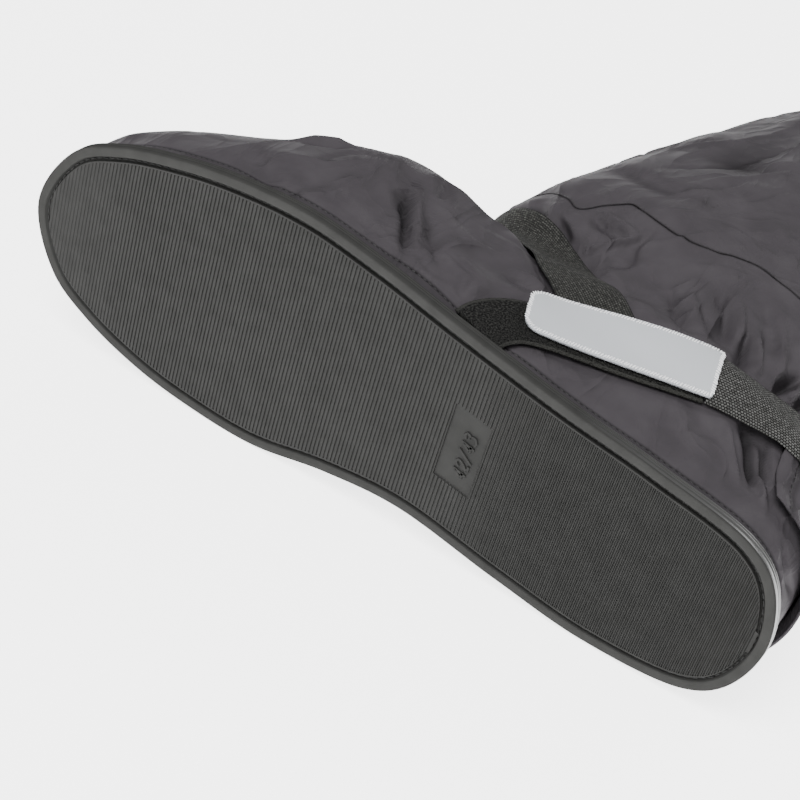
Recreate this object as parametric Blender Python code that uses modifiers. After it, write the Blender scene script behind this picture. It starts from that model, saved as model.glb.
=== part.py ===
"""A left rain overshoe that lies on its inner side: flat rubber sole, slack nylon upper and tall shaft.

Lengths are in millimetres and meshes are made in metres. In the shoe's own frame x runs from toe to
heel, y up from the ground side of the sole, and z from the inner side, on the floor, to the outer side.
"""
import math
from typing import NamedTuple

import bpy
import numpy as np

MM = 0.001
OBJECT_NAME = "overshoe"

# Sole: the edge's distance from the foot's axis, inner and outer side, at distances from the heel
HEEL_X = 149.6
SOLE_EDGE = (
    (0.0, -9.0, -9.0),
    (6.5, -32.0, 14.5),
    (19.0, -42.7, 24.8),
    (57.0, -48.9, 31.0),
    (95.0, -47.0, 34.4),
    (139.0, -43.3, 40.4),
    (170.0, -48.0, 45.2),
    (202.0, -56.3, 48.0),
    (233.0, -57.4, 45.1),
    (258.0, -55.1, 39.5),
    (284.0, -48.0, 30.4),
    (303.0, -37.0, 18.0),
    (315.2, -11.0, -11.0),
)
# The foot's axis is turned until heel and ball of the inner edge both touch the floor
AXIS_TURN = math.radians(2.765)
AXIS_HEIGHT = 53.3

SOLE_THICKNESS = 5.0
SOLE_COLUMNS = 112
# Profile of the sole from its top edge round to the tread: inset from the edge, height above ground
SOLE_PROFILE = (
    (0.5, SOLE_THICKNESS),
    (0.0, 4.5),
    (0.0, 0.5),
    (0.5, 0.0),
    (4.4, 0.0),
    (4.7, 0.8),
    (6.0, 0.8),
    (6.3, 0.2),
)
# Smooth plate sunk into the tread, turned with the foot's axis
PLATE_CENTRE = (27.5, 47.0)
PLATE_LENGTH = 32.0
PLATE_WIDTH = 15.0
PLATE_DEPTH = 0.6

INSOLE_INSET = 4.6
INSOLE_THICKNESS = 1.5
CLEARANCE = 0.3

WALL = 1.2
SEAM_HEIGHT = 130.0


class Section(NamedTuple):
    """One section through the upper, in a plane that holds the z direction.

    The front and back points are where the section crosses the shoe's profile. outer and inner are the
    half widths of an oval between them, sole is the share of the sole's own outline in the section,
    swell widens it, and tuck draws it in beside the instep.
    """

    front_x: float
    front_y: float
    front_z: float
    back_x: float
    back_y: float
    back_z: float
    outer: float
    inner: float
    sole: float
    swell: float
    tuck: float


SECTIONS = (
    Section(-163.6, 5.4, 49.8, 147.6, 5.4, 36.9, 50.0, 45.0, 1.00, -1.4, 0.0),
    Section(-163.2, 11.0, 50.2, 147.3, 10.0, 37.5, 50.0, 45.0, 0.99, -1.4, 0.0),
    Section(-161.0, 18.0, 51.0, 147.0, 16.0, 38.0, 50.0, 45.0, 0.98, -1.5, 0.0),
    Section(-156.0, 26.0, 52.0, 146.5, 23.0, 38.0, 49.0, 44.0, 0.96, -1.5, 0.5),
    Section(-147.0, 35.0, 53.0, 146.0, 30.0, 38.5, 49.0, 42.0, 0.93, -0.5, 3.0),
    Section(-131.0, 46.0, 54.5, 145.0, 37.0, 39.0, 50.0, 40.0, 0.89, 0.5, 8.0),
    Section(-108.0, 61.0, 56.0, 144.0, 44.0, 39.5, 51.0, 38.0, 0.80, 2.0, 15.0),
    Section(-80.0, 78.0, 56.0, 143.0, 52.0, 40.0, 49.0, 37.0, 0.60, 2.0, 20.0),
    Section(-50.0, 91.0, 51.0, 142.0, 61.0, 40.0, 45.0, 36.5, 0.34, 0.0, 18.0),
    Section(-31.0, 102.0, 47.0, 141.0, 72.0, 40.0, 44.0, 36.0, 0.12, 0.0, 10.0),
    Section(-34.0, 120.0, 51.0, 141.0, 88.0, 40.0, 44.0, 36.5, 0.00, 0.0, 3.0),
    Section(-33.0, 148.0, 52.0, 143.0, 108.0, 40.0, 46.0, 39.0, 0.00, 0.0, 0.0),
    Section(-28.0, 182.0, 51.0, 149.0, 138.0, 40.0, 46.0, 43.0, 0.00, 0.0, 0.0),
    Section(-10.0, 252.0, 49.0, 166.0, 210.0, 40.0, 46.0, 47.0, 0.00, 0.0, 0.0),
    Section(8.0, 322.0, 48.0, 182.0, 283.0, 40.0, 45.0, 48.0, 0.00, 0.0, 0.0),
    Section(26.0, 392.0, 47.0, 198.0, 355.0, 40.0, 44.0, 48.0, 0.00, 0.0, 0.0),
)
TOP_LEVEL = len(SECTIONS) - 1
# How blunt the ovals are at front and back, on the outer and the inner side
OUTER_BLUNT = 0.10
INNER_BLUNT = 0.32
TUCK_X = 2.0
TUCK_LENGTH = 45.0
# The floor that the inner side lies on, and how softly the cloth comes down to it
FLOOR_Z = -0.9
FLOOR_ROUNDING = 2.0

AROUND_COLUMNS = 52
UPPER_ROWS = 23
SHAFT_ROWS = 11

STRAP_WIDTH = 25.0
LOOP_WIDTH = 21.0
STRAP_THICKNESS = 1.5
FLAP_THICKNESS = 1.0
TAB_WIDTH = 22.0
TAB_THICKNESS = 1.4
TAB_CORNER = 7.0
# How far each layer's underside stands off the upper: first straps and flap, then what crosses them
INSTEP_LIFT = 1.0
HEEL_LIFT = 0.4
LOOP_LIFT = 0.6
FLAP_LIFT = 0.8
OVER_FLAP = FLAP_LIFT + FLAP_THICKNESS + 2.0 * CLEARANCE
TAB_LIFT = INSTEP_LIFT + STRAP_THICKNESS + CLEARANCE

# Routes over the upper: degrees round the shoe from the toe by way of the outer side, height above ground
INSTEP_ROUTE = (
    (104.9, 45.0),
    (97.0, 54.5),
    (86.0, 66.0),
    (69.5, 80.0),
    (47.0, 95.0),
    (25.0, 105.5),
    (0.0, 110.0),
    (-30.0, 105.0),
    (-55.0, 84.0),
    (-74.0, 48.0),
    (-83.0, 12.0),
)
INSTEP_SLANT = -9.0
HEEL_ROUTE = (
    (121.5, 52.0),
    (127.7, 55.5),
    (134.2, 57.7),
    (146.0, 59.0),
    (163.0, 60.5),
    (180.0, 61.0),
    (200.0, 60.0),
    (222.0, 54.0),
    (240.0, 38.0),
    (249.0, 12.0),
)
LOOP_ROUTE = (
    (99.6, 5.6),
    (100.1, 13.0),
    (101.9, 23.0),
    (106.6, 33.0),
    (112.5, 40.0),
    (120.7, 48.5),
)
TAB_ROUTE = (
    (100.2, 28.8),
    (106.1, 37.0),
    (112.7, 44.0),
    (122.6, 52.6),
)
INSTEP_STEPS = 40
HEEL_STEPS = 30
LOOP_STEPS = 12
TAB_STEPS = 16
ACROSS_STEPS = 4
SIDE_STEPS = 3
ROUTE_SAMPLES = 400

# Storm flap down the back: height at the back, outer edge and inner edge in degrees round the shoe
FLAP_ROWS = (
    (29.0, 152.0, 198.0),
    (45.0, 146.5, 203.0),
    (75.0, 142.0, 206.0),
    (130.0, 137.0, 208.0),
    (240.0, 134.0, 209.0),
    (352.0, 133.0, 209.0),
)
FLAP_STEPS = 22
# Steps up the flap lie closer together at the heel, where it bends most
FLAP_GATHER = 1.7
FLAP_ACROSS = 6
# Where the heel strap climbs over the flap and comes down again, in degrees round the shoe
FLAP_CROSSING = (131.0, 224.0)
CROSSING_RAMP = 7.0


class Finish(NamedTuple):
    """Colour and gloss of one material."""

    colour: tuple[float, float, float]
    roughness: float
    metallic: float = 0.0


FINISHES = {
    "sole_rubber": Finish((0.066, 0.066, 0.065), 0.72),
    "insole_board": Finish((0.05, 0.05, 0.05), 0.90),
    "coated_nylon": Finish((0.095, 0.088, 0.095), 0.48),
    "strap_webbing": Finish((0.075, 0.075, 0.066), 0.85),
    "loop_pile": Finish((0.008, 0.008, 0.008), 0.95),
    "reflective_film": Finish((0.60, 0.61, 0.63), 0.40),
}


def hermite(at: np.ndarray, stations: np.ndarray, values: np.ndarray) -> np.ndarray:
    """Smooth curve through table rows: cubic pieces whose slopes come from the neighbouring rows."""
    stations = np.asarray(stations, float)
    values = np.asarray(values, float)
    slopes = np.gradient(values, stations, axis=0)
    low = np.clip(np.searchsorted(stations, at, side="right") - 1, 0, len(stations) - 2)
    span = stations[low + 1] - stations[low]
    part = (at - stations[low]) / span
    part = part.reshape(part.shape + (1,) * (values.ndim - 1))
    span = span.reshape(part.shape)
    rest = 1.0 - part
    ends = (1.0 + 2.0 * part) * rest**2 * values[low] + part**2 * (3.0 - 2.0 * part) * values[low + 1]
    return ends + span * part * rest * (rest * slopes[low] - part * slopes[low + 1])


def sole_edge(count: int) -> np.ndarray:
    """The sole's closed edge as (x, z) points at even spacing, from the toe along the inner side."""
    inner = [(HEEL_X - from_heel, side) for from_heel, side, _ in reversed(SOLE_EDGE)]
    outer = [(HEEL_X - from_heel, side) for from_heel, _, side in SOLE_EDGE[1:-1]]
    points = np.array(inner + outer)
    lap = 3
    wrapped = np.vstack([points[-lap:], points, points[:lap]])
    steps = np.sqrt(np.linalg.norm(np.diff(wrapped, axis=0), axis=1))
    run = np.concatenate([[0.0], np.cumsum(steps)])
    fine = hermite(np.linspace(run[lap], run[lap + len(points)], 2001), run, wrapped)
    length = np.concatenate([[0.0], np.cumsum(np.linalg.norm(np.diff(fine, axis=0), axis=1))])
    even = np.linspace(0.0, length[-1], count, endpoint=False)
    along = np.interp(even, length, fine[:, 0])
    side = np.interp(even, length, fine[:, 1])
    x = along * math.cos(AXIS_TURN) + side * math.sin(AXIS_TURN)
    z = side * math.cos(AXIS_TURN) - along * math.sin(AXIS_TURN) + AXIS_HEIGHT
    return np.stack([x, z], axis=1)


def inset_edge(edge: np.ndarray, inset: float) -> np.ndarray:
    """A closed edge moved inwards by a distance."""
    run = np.roll(edge, -1, axis=0) - np.roll(edge, 1, axis=0)
    run /= np.linalg.norm(run, axis=1, keepdims=True)
    inwards = np.stack([-run[:, 1], run[:, 0]], axis=1)
    return edge + inset * inwards


def edge_reach() -> tuple[np.ndarray, np.ndarray, np.ndarray]:
    """How far the sole's edge reaches from its toe to heel line: fractions along it, outer and inner."""
    edge = sole_edge(1200)
    toe = int(np.argmin(edge[:, 0]))
    edge = np.roll(edge, -toe, axis=0)
    heel = int(np.argmax(edge[:, 0]))
    inner = edge[: heel + 1]
    outer = np.vstack([edge[heel:], edge[:1]])[::-1]
    fraction = (1.0 - np.cos(np.linspace(0.0, math.pi, 241))) / 2.0
    x = edge[0, 0] + fraction * (edge[heel, 0] - edge[0, 0])
    line = edge[0, 1] + fraction * (edge[heel, 1] - edge[0, 1])
    out = np.interp(x, outer[:, 0], outer[:, 1]) - line
    into = line - np.interp(x, inner[:, 0], inner[:, 1])
    return fraction, out, into


REACH_AT, OUTER_REACH, INNER_REACH = edge_reach()
SECTION_TABLE = np.array(SECTIONS)


def skin(around: np.ndarray, level: np.ndarray) -> np.ndarray:
    """Points of the upper's outer face.

    around is the angle from the toe by way of the outer side, and level is a place between the rows of
    SECTIONS. Each section runs from its front to its back point, with the sole's outline and an oval
    mixed for its width, and is pressed flat where it would sink below the floor.
    """
    row = hermite(level, np.arange(len(SECTIONS)), SECTION_TABLE)
    fraction = (1.0 - np.cos(around)) / 2.0
    front, back = row[..., 0:3], row[..., 3:6]
    centre = front + fraction[..., None] * (back - front)
    outer, inner, sole, swell, tuck = (row[..., column] for column in range(6, 11))
    rise = np.abs(np.sin(around))
    is_outer = np.sin(around) >= 0.0
    blunt = np.where(is_outer, OUTER_BLUNT, INNER_BLUNT) * np.cos(around) ** 2
    oval = np.where(is_outer, outer, inner) * rise * (1.0 + blunt)
    outline = np.where(
        is_outer,
        np.interp(fraction, REACH_AT, OUTER_REACH),
        np.interp(fraction, REACH_AT, INNER_REACH),
    )
    pull = np.where(is_outer, tuck, tuck / 2.0) * np.exp(-(((centre[..., 0] - TUCK_X) / TUCK_LENGTH) ** 2))
    width = sole * outline + (1.0 - sole) * oval + (swell - pull) * rise
    z = centre[..., 2] + np.where(is_outer, width, -width)
    above = z - FLOOR_Z
    z = FLOOR_Z + (above + np.sqrt(above**2 + FLOOR_ROUNDING**2)) / 2.0
    return np.stack([centre[..., 0], centre[..., 1], z], axis=-1)


def level_at(around: np.ndarray, height: np.ndarray) -> np.ndarray:
    """The level at which the upper, at an angle round the shoe, has a height above ground."""
    low = np.zeros_like(around)
    high = np.full_like(around, TOP_LEVEL)
    for _ in range(40):
        middle = (low + high) / 2.0
        below = skin(around, middle)[..., 1] < height
        low = np.where(below, middle, low)
        high = np.where(below, high, middle)
    return (low + high) / 2.0


def skin_frame(around: np.ndarray, level: np.ndarray) -> tuple[np.ndarray, np.ndarray, np.ndarray]:
    """How the upper's face moves with each of its two parameters, and its outward normal."""
    step = 0.01
    by_around = (skin(around + step, level) - skin(around - step, level)) / (2.0 * step)
    upper_level = np.minimum(level + step, TOP_LEVEL)
    lower_level = np.maximum(level - step, 0.0)
    by_level = skin(around, upper_level) - skin(around, lower_level)
    by_level = by_level / (upper_level - lower_level)[..., None]
    normal = np.cross(by_around, by_level)
    return by_around, by_level, normal / np.linalg.norm(normal, axis=-1, keepdims=True)


def lifted(around: np.ndarray, level: np.ndarray, lift: np.ndarray) -> np.ndarray:
    """Points at a distance off the upper's outer face."""
    normal = skin_frame(around, level)[2]
    return skin(around, level) + normal * np.asarray(lift)[..., None]


def material_for(name: str) -> bpy.types.Material:
    """The named finish as a material, made once."""
    found = bpy.data.materials.get(name)
    if found:
        return found
    finish = FINISHES[name]
    material = bpy.data.materials.new(name)
    material.use_nodes = True
    shader = material.node_tree.nodes["Principled BSDF"]
    shader.inputs["Base Color"].default_value = (*finish.colour, 1.0)
    shader.inputs["Roughness"].default_value = finish.roughness
    shader.inputs["Metallic"].default_value = finish.metallic
    return material


def add_mesh(
    name: str, points: np.ndarray, faces: list, finish: str, home: bpy.types.Collection
) -> bpy.types.Object:
    """A mesh object from points in millimetres and faces."""
    mesh = bpy.data.meshes.new(name)
    mesh.from_pydata((np.asarray(points) * MM).tolist(), [], faces)
    mesh.materials.append(material_for(finish))
    mesh.shade_smooth()
    mesh.set_sharp_from_angle(angle=math.radians(40.0))
    piece = bpy.data.objects.new(name, mesh)
    home.objects.link(piece)
    return piece


def grid_faces(rows: int, columns: int, closed: bool) -> list[tuple[int, int, int, int]]:
    """Quads of a grid whose columns run round, and close on themselves if closed."""
    last = columns if closed else columns - 1
    faces = []
    for row in range(rows - 1):
        for column in range(last):
            beside = (column + 1) % columns
            start, above = row * columns, (row + 1) * columns
            faces.append((start + column, start + beside, above + beside, above + column))
    return faces


def add_sheet(
    name: str,
    grid: np.ndarray,
    closed: bool,
    thickness: float,
    offset: float,
    finish: str,
    home: bpy.types.Collection,
) -> bpy.types.Object:
    """A sheet of even thickness on a grid of points; offset -1 thickens it inwards and 1 outwards."""
    rows, columns = grid.shape[:2]
    sheet = add_mesh(name, grid.reshape(-1, 3), grid_faces(rows, columns, closed), finish, home)
    wall = sheet.modifiers.new("wall", "SOLIDIFY")
    wall.thickness = thickness * MM
    wall.offset = offset
    return sheet


def add_shell(
    name: str, low: float | None, high: float | None, rows: int, home: bpy.types.Collection
) -> bpy.types.Object:
    """A band of the upper between two heights, open at both ends; None takes the upper's own end."""
    around = np.linspace(0.0, 2.0 * math.pi, AROUND_COLUMNS, endpoint=False)
    bottom = np.zeros_like(around) if low is None else level_at(around, np.full_like(around, low))
    top = np.full_like(around, TOP_LEVEL) if high is None else level_at(around, np.full_like(around, high))
    share = np.linspace(0.0, 1.0, rows)[:, None]
    level = bottom + share * (top - bottom)
    grid = skin(np.broadcast_to(around, level.shape), level)
    return add_sheet(name, grid, True, WALL, -1.0, "coated_nylon", home)


def add_outsole(home: bpy.types.Collection, cutters: bpy.types.Collection) -> bpy.types.Object:
    """Flat sole: profile carried round the edge, closed by top face and tread, with a sunk plate."""
    edge = sole_edge(SOLE_COLUMNS)
    rings = []
    for inset, height in SOLE_PROFILE:
        ring = inset_edge(edge, inset)
        rings.append(np.stack([ring[:, 0], np.full(SOLE_COLUMNS, height), ring[:, 1]], axis=1))
    faces = grid_faces(len(rings), SOLE_COLUMNS, True)
    last = (len(rings) - 1) * SOLE_COLUMNS
    faces.append(tuple(reversed(range(SOLE_COLUMNS))))
    faces.append(tuple(range(last, last + SOLE_COLUMNS)))
    sole = add_mesh("outsole", np.vstack(rings), faces, "sole_rubber", home)

    bpy.ops.mesh.primitive_cube_add(size=1.0)
    plate = bpy.context.object
    plate.name = "plate_cutter"
    plate.location = (PLATE_CENTRE[0] * MM, 0.0, PLATE_CENTRE[1] * MM)
    plate.rotation_euler = (0.0, AXIS_TURN, 0.0)
    tread_height = SOLE_PROFILE[-1][1]
    plate.scale = (PLATE_WIDTH * MM, 2.0 * (tread_height + PLATE_DEPTH) * MM, PLATE_LENGTH * MM)
    plate.hide_render = True
    plate.display_type = "WIRE"
    bpy.context.collection.objects.unlink(plate)
    cutters.objects.link(plate)
    cut = sole.modifiers.new("plate", "BOOLEAN")
    cut.operation = "DIFFERENCE"
    cut.solver = "EXACT"
    cut.object = plate
    return sole


def add_insole(home: bpy.types.Collection) -> bpy.types.Object:
    """Flat board on the sole, inside the upper, from the sole's own outline."""
    edge = inset_edge(sole_edge(SOLE_COLUMNS // 2), INSOLE_INSET)
    outline = bpy.data.curves.new("insole", "CURVE")
    outline.dimensions = "2D"
    outline.fill_mode = "BOTH"
    outline.extrude = INSOLE_THICKNESS / 2.0 * MM
    outline.materials.append(material_for("insole_board"))
    spline = outline.splines.new("POLY")
    spline.points.add(len(edge) - 1)
    spline.use_cyclic_u = True
    for point, (x, z) in zip(spline.points, edge):
        point.co = (x * MM, z * MM, 0.0, 1.0)
    board = bpy.data.objects.new("insole", outline)
    board.location = (0.0, (SOLE_THICKNESS + CLEARANCE + INSOLE_THICKNESS / 2.0) * MM, 0.0)
    board.rotation_euler = (math.pi / 2.0, 0.0, 0.0)
    home.objects.link(board)
    return board


def route_run(route: tuple) -> tuple[np.ndarray, np.ndarray, np.ndarray]:
    """A route's angle and level at close steps, and the distance along it to each."""
    angles = np.radians([row[0] for row in route])
    heights = np.array([row[1] for row in route])
    knots = np.stack([angles, level_at(angles, heights)], axis=1)
    fine = hermite(np.linspace(0.0, len(route) - 1.0, ROUTE_SAMPLES), np.arange(len(route)), knots)
    path = skin(fine[:, 0], fine[:, 1])
    run = np.concatenate([[0.0], np.cumsum(np.linalg.norm(np.diff(path, axis=0), axis=1))])
    return run, fine[:, 0], fine[:, 1]


def step_aside(
    around: np.ndarray, level: np.ndarray, heading: np.ndarray, distance: np.ndarray
) -> tuple[np.ndarray, np.ndarray]:
    """Move along the upper's face by a distance, square to a heading."""
    by_around, by_level, normal = skin_frame(around, level)
    across = np.cross(heading, normal)
    across *= (distance / np.linalg.norm(across, axis=-1))[..., None]
    a = np.sum(by_around * by_around, axis=-1)
    b = np.sum(by_around * by_level, axis=-1)
    d = np.sum(by_level * by_level, axis=-1)
    p = np.sum(by_around * across, axis=-1)
    q = np.sum(by_level * across, axis=-1)
    whole = a * d - b * b
    return around + (p * d - q * b) / whole, np.clip(level + (a * q - b * p) / whole, 0.0, TOP_LEVEL)


def band_grid(
    route: tuple, steps: int, half_width: np.ndarray, lift: np.ndarray, slant: float = 0.0
) -> np.ndarray:
    """A band that follows a route on the upper, spread to both sides along the upper's face.

    half_width holds a value for each close step of the route, and lift one for each even step of the
    band. A slant cuts the first end askew: one corner starts that far along the route, the other at
    its first point.
    """
    run, middle_around, middle_level = route_run(route)
    heading = np.gradient(skin(middle_around, middle_level), axis=0)
    columns = {0: (middle_around, middle_level)}
    for sign in (-1, 1):
        around, level = middle_around, middle_level
        for column in range(1, ACROSS_STEPS // 2 + 1):
            for _ in range(SIDE_STEPS):
                distance = sign * half_width * 2.0 / (ACROSS_STEPS * SIDE_STEPS)
                around, level = step_aside(around, level, heading, distance)
            columns[sign * column] = (around, level)
    even = np.linspace(0.0, run[-1], steps + 1)
    grid = []
    for column in sorted(columns):
        side = 2.0 * column / ACROSS_STEPS
        lead = abs(slant) * (1.0 + math.copysign(side, slant * side)) / 2.0
        along = even + lead * (1.0 - even / run[-1])
        around, level = columns[column]
        grid.append(lifted(np.interp(along, run, around), np.interp(along, run, level), lift))
    return np.stack(grid, axis=1)


def add_strap(
    name: str,
    route: tuple,
    width: float,
    lift: np.ndarray,
    slant: float,
    finish: str,
    home: bpy.types.Collection,
) -> bpy.types.Object:
    """A strap of even width on the upper, thickened outwards from a grid of its underside."""
    half_width = np.full(ROUTE_SAMPLES, width / 2.0)
    grid = band_grid(route, len(lift) - 1, half_width, lift, slant)
    return add_sheet(name, grid, False, STRAP_THICKNESS, 1.0, finish, home)


def add_instep_strap(home: bpy.types.Collection) -> bpy.types.Object:
    """Strap from the tab over the instep to the inner side of the sole."""
    lift = np.full(INSTEP_STEPS + 1, INSTEP_LIFT)
    return add_strap("instep_strap", INSTEP_ROUTE, STRAP_WIDTH, lift, INSTEP_SLANT, "strap_webbing", home)


def add_loop_strip(home: bpy.types.Collection) -> bpy.types.Object:
    """Fuzzy fastening strip from the sole up to the tab and along under it."""
    lift = np.full(LOOP_STEPS + 1, LOOP_LIFT)
    return add_strap("loop_strip", LOOP_ROUTE, LOOP_WIDTH, lift, 0.0, "loop_pile", home)


def add_heel_strap(home: bpy.types.Collection) -> bpy.types.Object:
    """Strap from the tab round the back of the heel, which climbs over the storm flap there."""
    run, fine_around, _ = route_run(HEEL_ROUTE)
    around = np.degrees(np.interp(np.linspace(0.0, run[-1], HEEL_STEPS + 1), run, fine_around))
    climb, descend = FLAP_CROSSING
    climbing = np.clip((around - climb) / CROSSING_RAMP, 0.0, 1.0)
    over = climbing * np.clip((descend - around) / CROSSING_RAMP, 0.0, 1.0)
    lift = HEEL_LIFT + over * (OVER_FLAP - HEEL_LIFT)
    return add_strap("heel_strap", HEEL_ROUTE, STRAP_WIDTH, lift, 0.0, "strap_webbing", home)


def add_tab(home: bpy.types.Collection) -> bpy.types.Object:
    """Reflective tab over the straps, with round corners at its front end."""
    run = route_run(TAB_ROUTE)[0]
    before_corner = np.clip(TAB_CORNER - run, 0.0, TAB_CORNER)
    half_width = TAB_WIDTH / 2.0 - TAB_CORNER + np.sqrt(TAB_CORNER**2 - before_corner**2)
    lift = np.full(TAB_STEPS + 1, TAB_LIFT)
    grid = band_grid(TAB_ROUTE, TAB_STEPS, half_width, lift)
    return add_sheet("reflective_tab", grid, False, TAB_THICKNESS, 1.0, "reflective_film", home)


def add_storm_flap(home: bpy.types.Collection) -> bpy.types.Object:
    """Folded strip up the back of upper and shaft."""
    table = np.array(FLAP_ROWS)
    rise = np.linspace(0.0, 1.0, FLAP_STEPS + 1) ** FLAP_GATHER
    height = table[0, 0] + rise * (table[-1, 0] - table[0, 0])
    edges = np.radians(hermite(height, table[:, 0], table[:, 1:]))
    share = np.linspace(0.0, 1.0, FLAP_ACROSS + 1)
    around = edges[:, :1] + share * (edges[:, 1:] - edges[:, :1])
    level = level_at(around, np.broadcast_to(height[:, None], around.shape).copy())
    grid = lifted(around, level, np.full(around.shape, FLAP_LIFT))
    return add_sheet("storm_flap", grid, False, FLAP_THICKNESS, 1.0, "coated_nylon", home)


def clear_scene() -> None:
    """Remove what the scene holds."""
    for found in list(bpy.data.objects):
        bpy.data.objects.remove(found, do_unlink=True)


def centre_on_floor(parts: list[bpy.types.Object], home: bpy.types.Collection) -> None:
    """Put the parts under an empty, so that the origin is the middle of the floor they cover."""
    bpy.context.view_layer.update()
    depsgraph = bpy.context.evaluated_depsgraph_get()
    corners = []
    for part in parts:
        shape = part.evaluated_get(depsgraph)
        mesh = shape.to_mesh()
        corners += [shape.matrix_world @ vertex.co for vertex in mesh.vertices]
        shape.to_mesh_clear()
    corners = np.array(corners)
    low, high = corners.min(axis=0), corners.max(axis=0)
    root = bpy.data.objects.new(f"{OBJECT_NAME}_origin", None)
    home.objects.link(root)
    root.location = (-(low[0] + high[0]) / 2.0, -(low[1] + high[1]) / 2.0, -low[2])
    for part in parts:
        part.parent = root


def main() -> None:
    """Build every piece of the overshoe."""
    clear_scene()
    home = bpy.data.collections.new(OBJECT_NAME)
    cutters = bpy.data.collections.new(f"{OBJECT_NAME}_cutters")
    bpy.context.scene.collection.children.link(home)
    bpy.context.scene.collection.children.link(cutters)
    parts = [
        add_outsole(home, cutters),
        add_insole(home),
        add_shell("upper", None, SEAM_HEIGHT - CLEARANCE / 2.0, UPPER_ROWS, home),
        add_shell("shaft", SEAM_HEIGHT + CLEARANCE / 2.0, None, SHAFT_ROWS, home),
        add_storm_flap(home),
        add_instep_strap(home),
        add_loop_strip(home),
        add_heel_strap(home),
        add_tab(home),
    ]
    centre_on_floor(parts, home)


main()
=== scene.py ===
"""Looks of a left rain overshoe that lies on its inner side: ribbed rubber sole, creased nylon, webbing.

Lengths are in millimetres in the shoe's own frame: x runs from toe to heel, y up from the ground side of
the sole, and z from the inner side, on the floor, to the outer side. Pieces are written in metres in the
row frame.
"""

import logging
import math
from dataclasses import dataclass, field
from enum import Enum
from typing import NamedTuple

import bpy
import numpy as np
from mathutils import Matrix, Vector


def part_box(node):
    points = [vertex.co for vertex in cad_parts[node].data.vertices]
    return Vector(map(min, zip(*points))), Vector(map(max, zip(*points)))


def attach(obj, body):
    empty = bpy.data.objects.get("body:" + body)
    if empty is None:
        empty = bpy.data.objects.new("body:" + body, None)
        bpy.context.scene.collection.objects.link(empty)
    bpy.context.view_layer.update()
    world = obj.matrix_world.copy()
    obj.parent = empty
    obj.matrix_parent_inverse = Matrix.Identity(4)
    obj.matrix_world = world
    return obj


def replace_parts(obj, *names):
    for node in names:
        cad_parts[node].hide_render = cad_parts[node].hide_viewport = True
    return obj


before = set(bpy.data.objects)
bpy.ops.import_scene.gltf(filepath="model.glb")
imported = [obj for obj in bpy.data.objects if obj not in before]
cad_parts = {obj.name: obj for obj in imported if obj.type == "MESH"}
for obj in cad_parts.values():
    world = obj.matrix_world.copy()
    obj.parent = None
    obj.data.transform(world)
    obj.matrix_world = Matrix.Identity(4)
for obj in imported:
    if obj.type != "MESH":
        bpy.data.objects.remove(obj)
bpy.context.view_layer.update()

log = logging.getLogger("overshoe")
MM = 0.001
BODY = "root"
WHITE = (1.0, 1.0, 1.0, 1.0)
# The largest power of e that a soft step works out.
STEEPEST = 30.0
# Sockets of a Mix node that mixes colours: the share, the first and second colour, and the result.
MIX_SHARE, MIX_FIRST, MIX_SECOND, MIX_RESULT = 0, 6, 7, 2


class Slot(Enum):
    """Material slots of the record."""

    RUBBER = "sole_rubber"
    NYLON = "coated_nylon"
    WEBBING = "strap_webbing"
    PILE = "loop_pile"
    FILM = "reflective_film"


class Section(NamedTuple):
    """One section through the upper: front and back point, half widths, and shares that shape its width."""

    front_x: float
    front_y: float
    front_z: float
    back_x: float
    back_y: float
    back_z: float
    outer: float
    inner: float
    sole: float
    swell: float
    tuck: float


class EdgeRow(NamedTuple):
    """Distances of the sole's inner and outer edge from the foot's axis, at a distance from the heel."""

    from_heel: float
    inner: float
    outer: float


class Crease(NamedTuple):
    """A soft trough (depth below 0) or ridge on the outer side, along points (x, y), with a half width."""

    depth: float
    width: float
    points: tuple[tuple[float, float], ...]


class Cut(NamedTuple):
    """A panel of cloth before it was sewn: width and length that hold it, in metres, and its flat area."""

    width: float
    length: float
    area: float


def hermite(at: np.ndarray, stations: np.ndarray, values: np.ndarray) -> np.ndarray:
    """Smooth curve through table rows: cubic pieces whose slopes come from the neighbouring rows.

    Args:
        at: Places to evaluate.
        stations: Rising places of the rows.
        values: Value or values of each row.

    Returns:
        The curve's values, in the shape of at and then of one row.
    """
    stations = np.asarray(stations, float)
    values = np.asarray(values, float)
    slopes = np.gradient(values, stations, axis=0)
    low = np.clip(np.searchsorted(stations, at, side="right") - 1, 0, len(stations) - 2)
    span = stations[low + 1] - stations[low]
    part = (at - stations[low]) / span
    part = part.reshape(part.shape + (1,) * (values.ndim - 1))
    span = span.reshape(part.shape)
    rest = 1.0 - part
    ends = (1.0 + 2.0 * part) * rest**2 * values[low] + part**2 * (3.0 - 2.0 * part) * values[low + 1]
    return ends + span * part * rest * (rest * slopes[low] - part * slopes[low + 1])


def value_noise(points: np.ndarray, scale: float, seed: int) -> np.ndarray:
    """Smooth random field in space: random values on a lattice, eased between the corners of each cell.

    Args:
        points: Places, in millimetres, with x, y, z last.
        scale: Size of a lattice cell, in millimetres.
        seed: Which random field.

    Returns:
        Values from -1 to 1.
    """
    size = 32
    lattice = np.random.default_rng(seed).uniform(-1.0, 1.0, (size, size, size))
    place = points / scale
    cell = np.floor(place).astype(int)
    part = place - cell
    ease = part * part * (3.0 - 2.0 * part)
    total = np.zeros(points.shape[:-1])
    for corner in np.ndindex(2, 2, 2):
        index = (cell + np.array(corner)) % size
        weight = np.prod(np.where(np.array(corner) == 1, ease, 1.0 - ease), axis=-1)
        total += weight * lattice[index[..., 0], index[..., 1], index[..., 2]]
    return total


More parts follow.
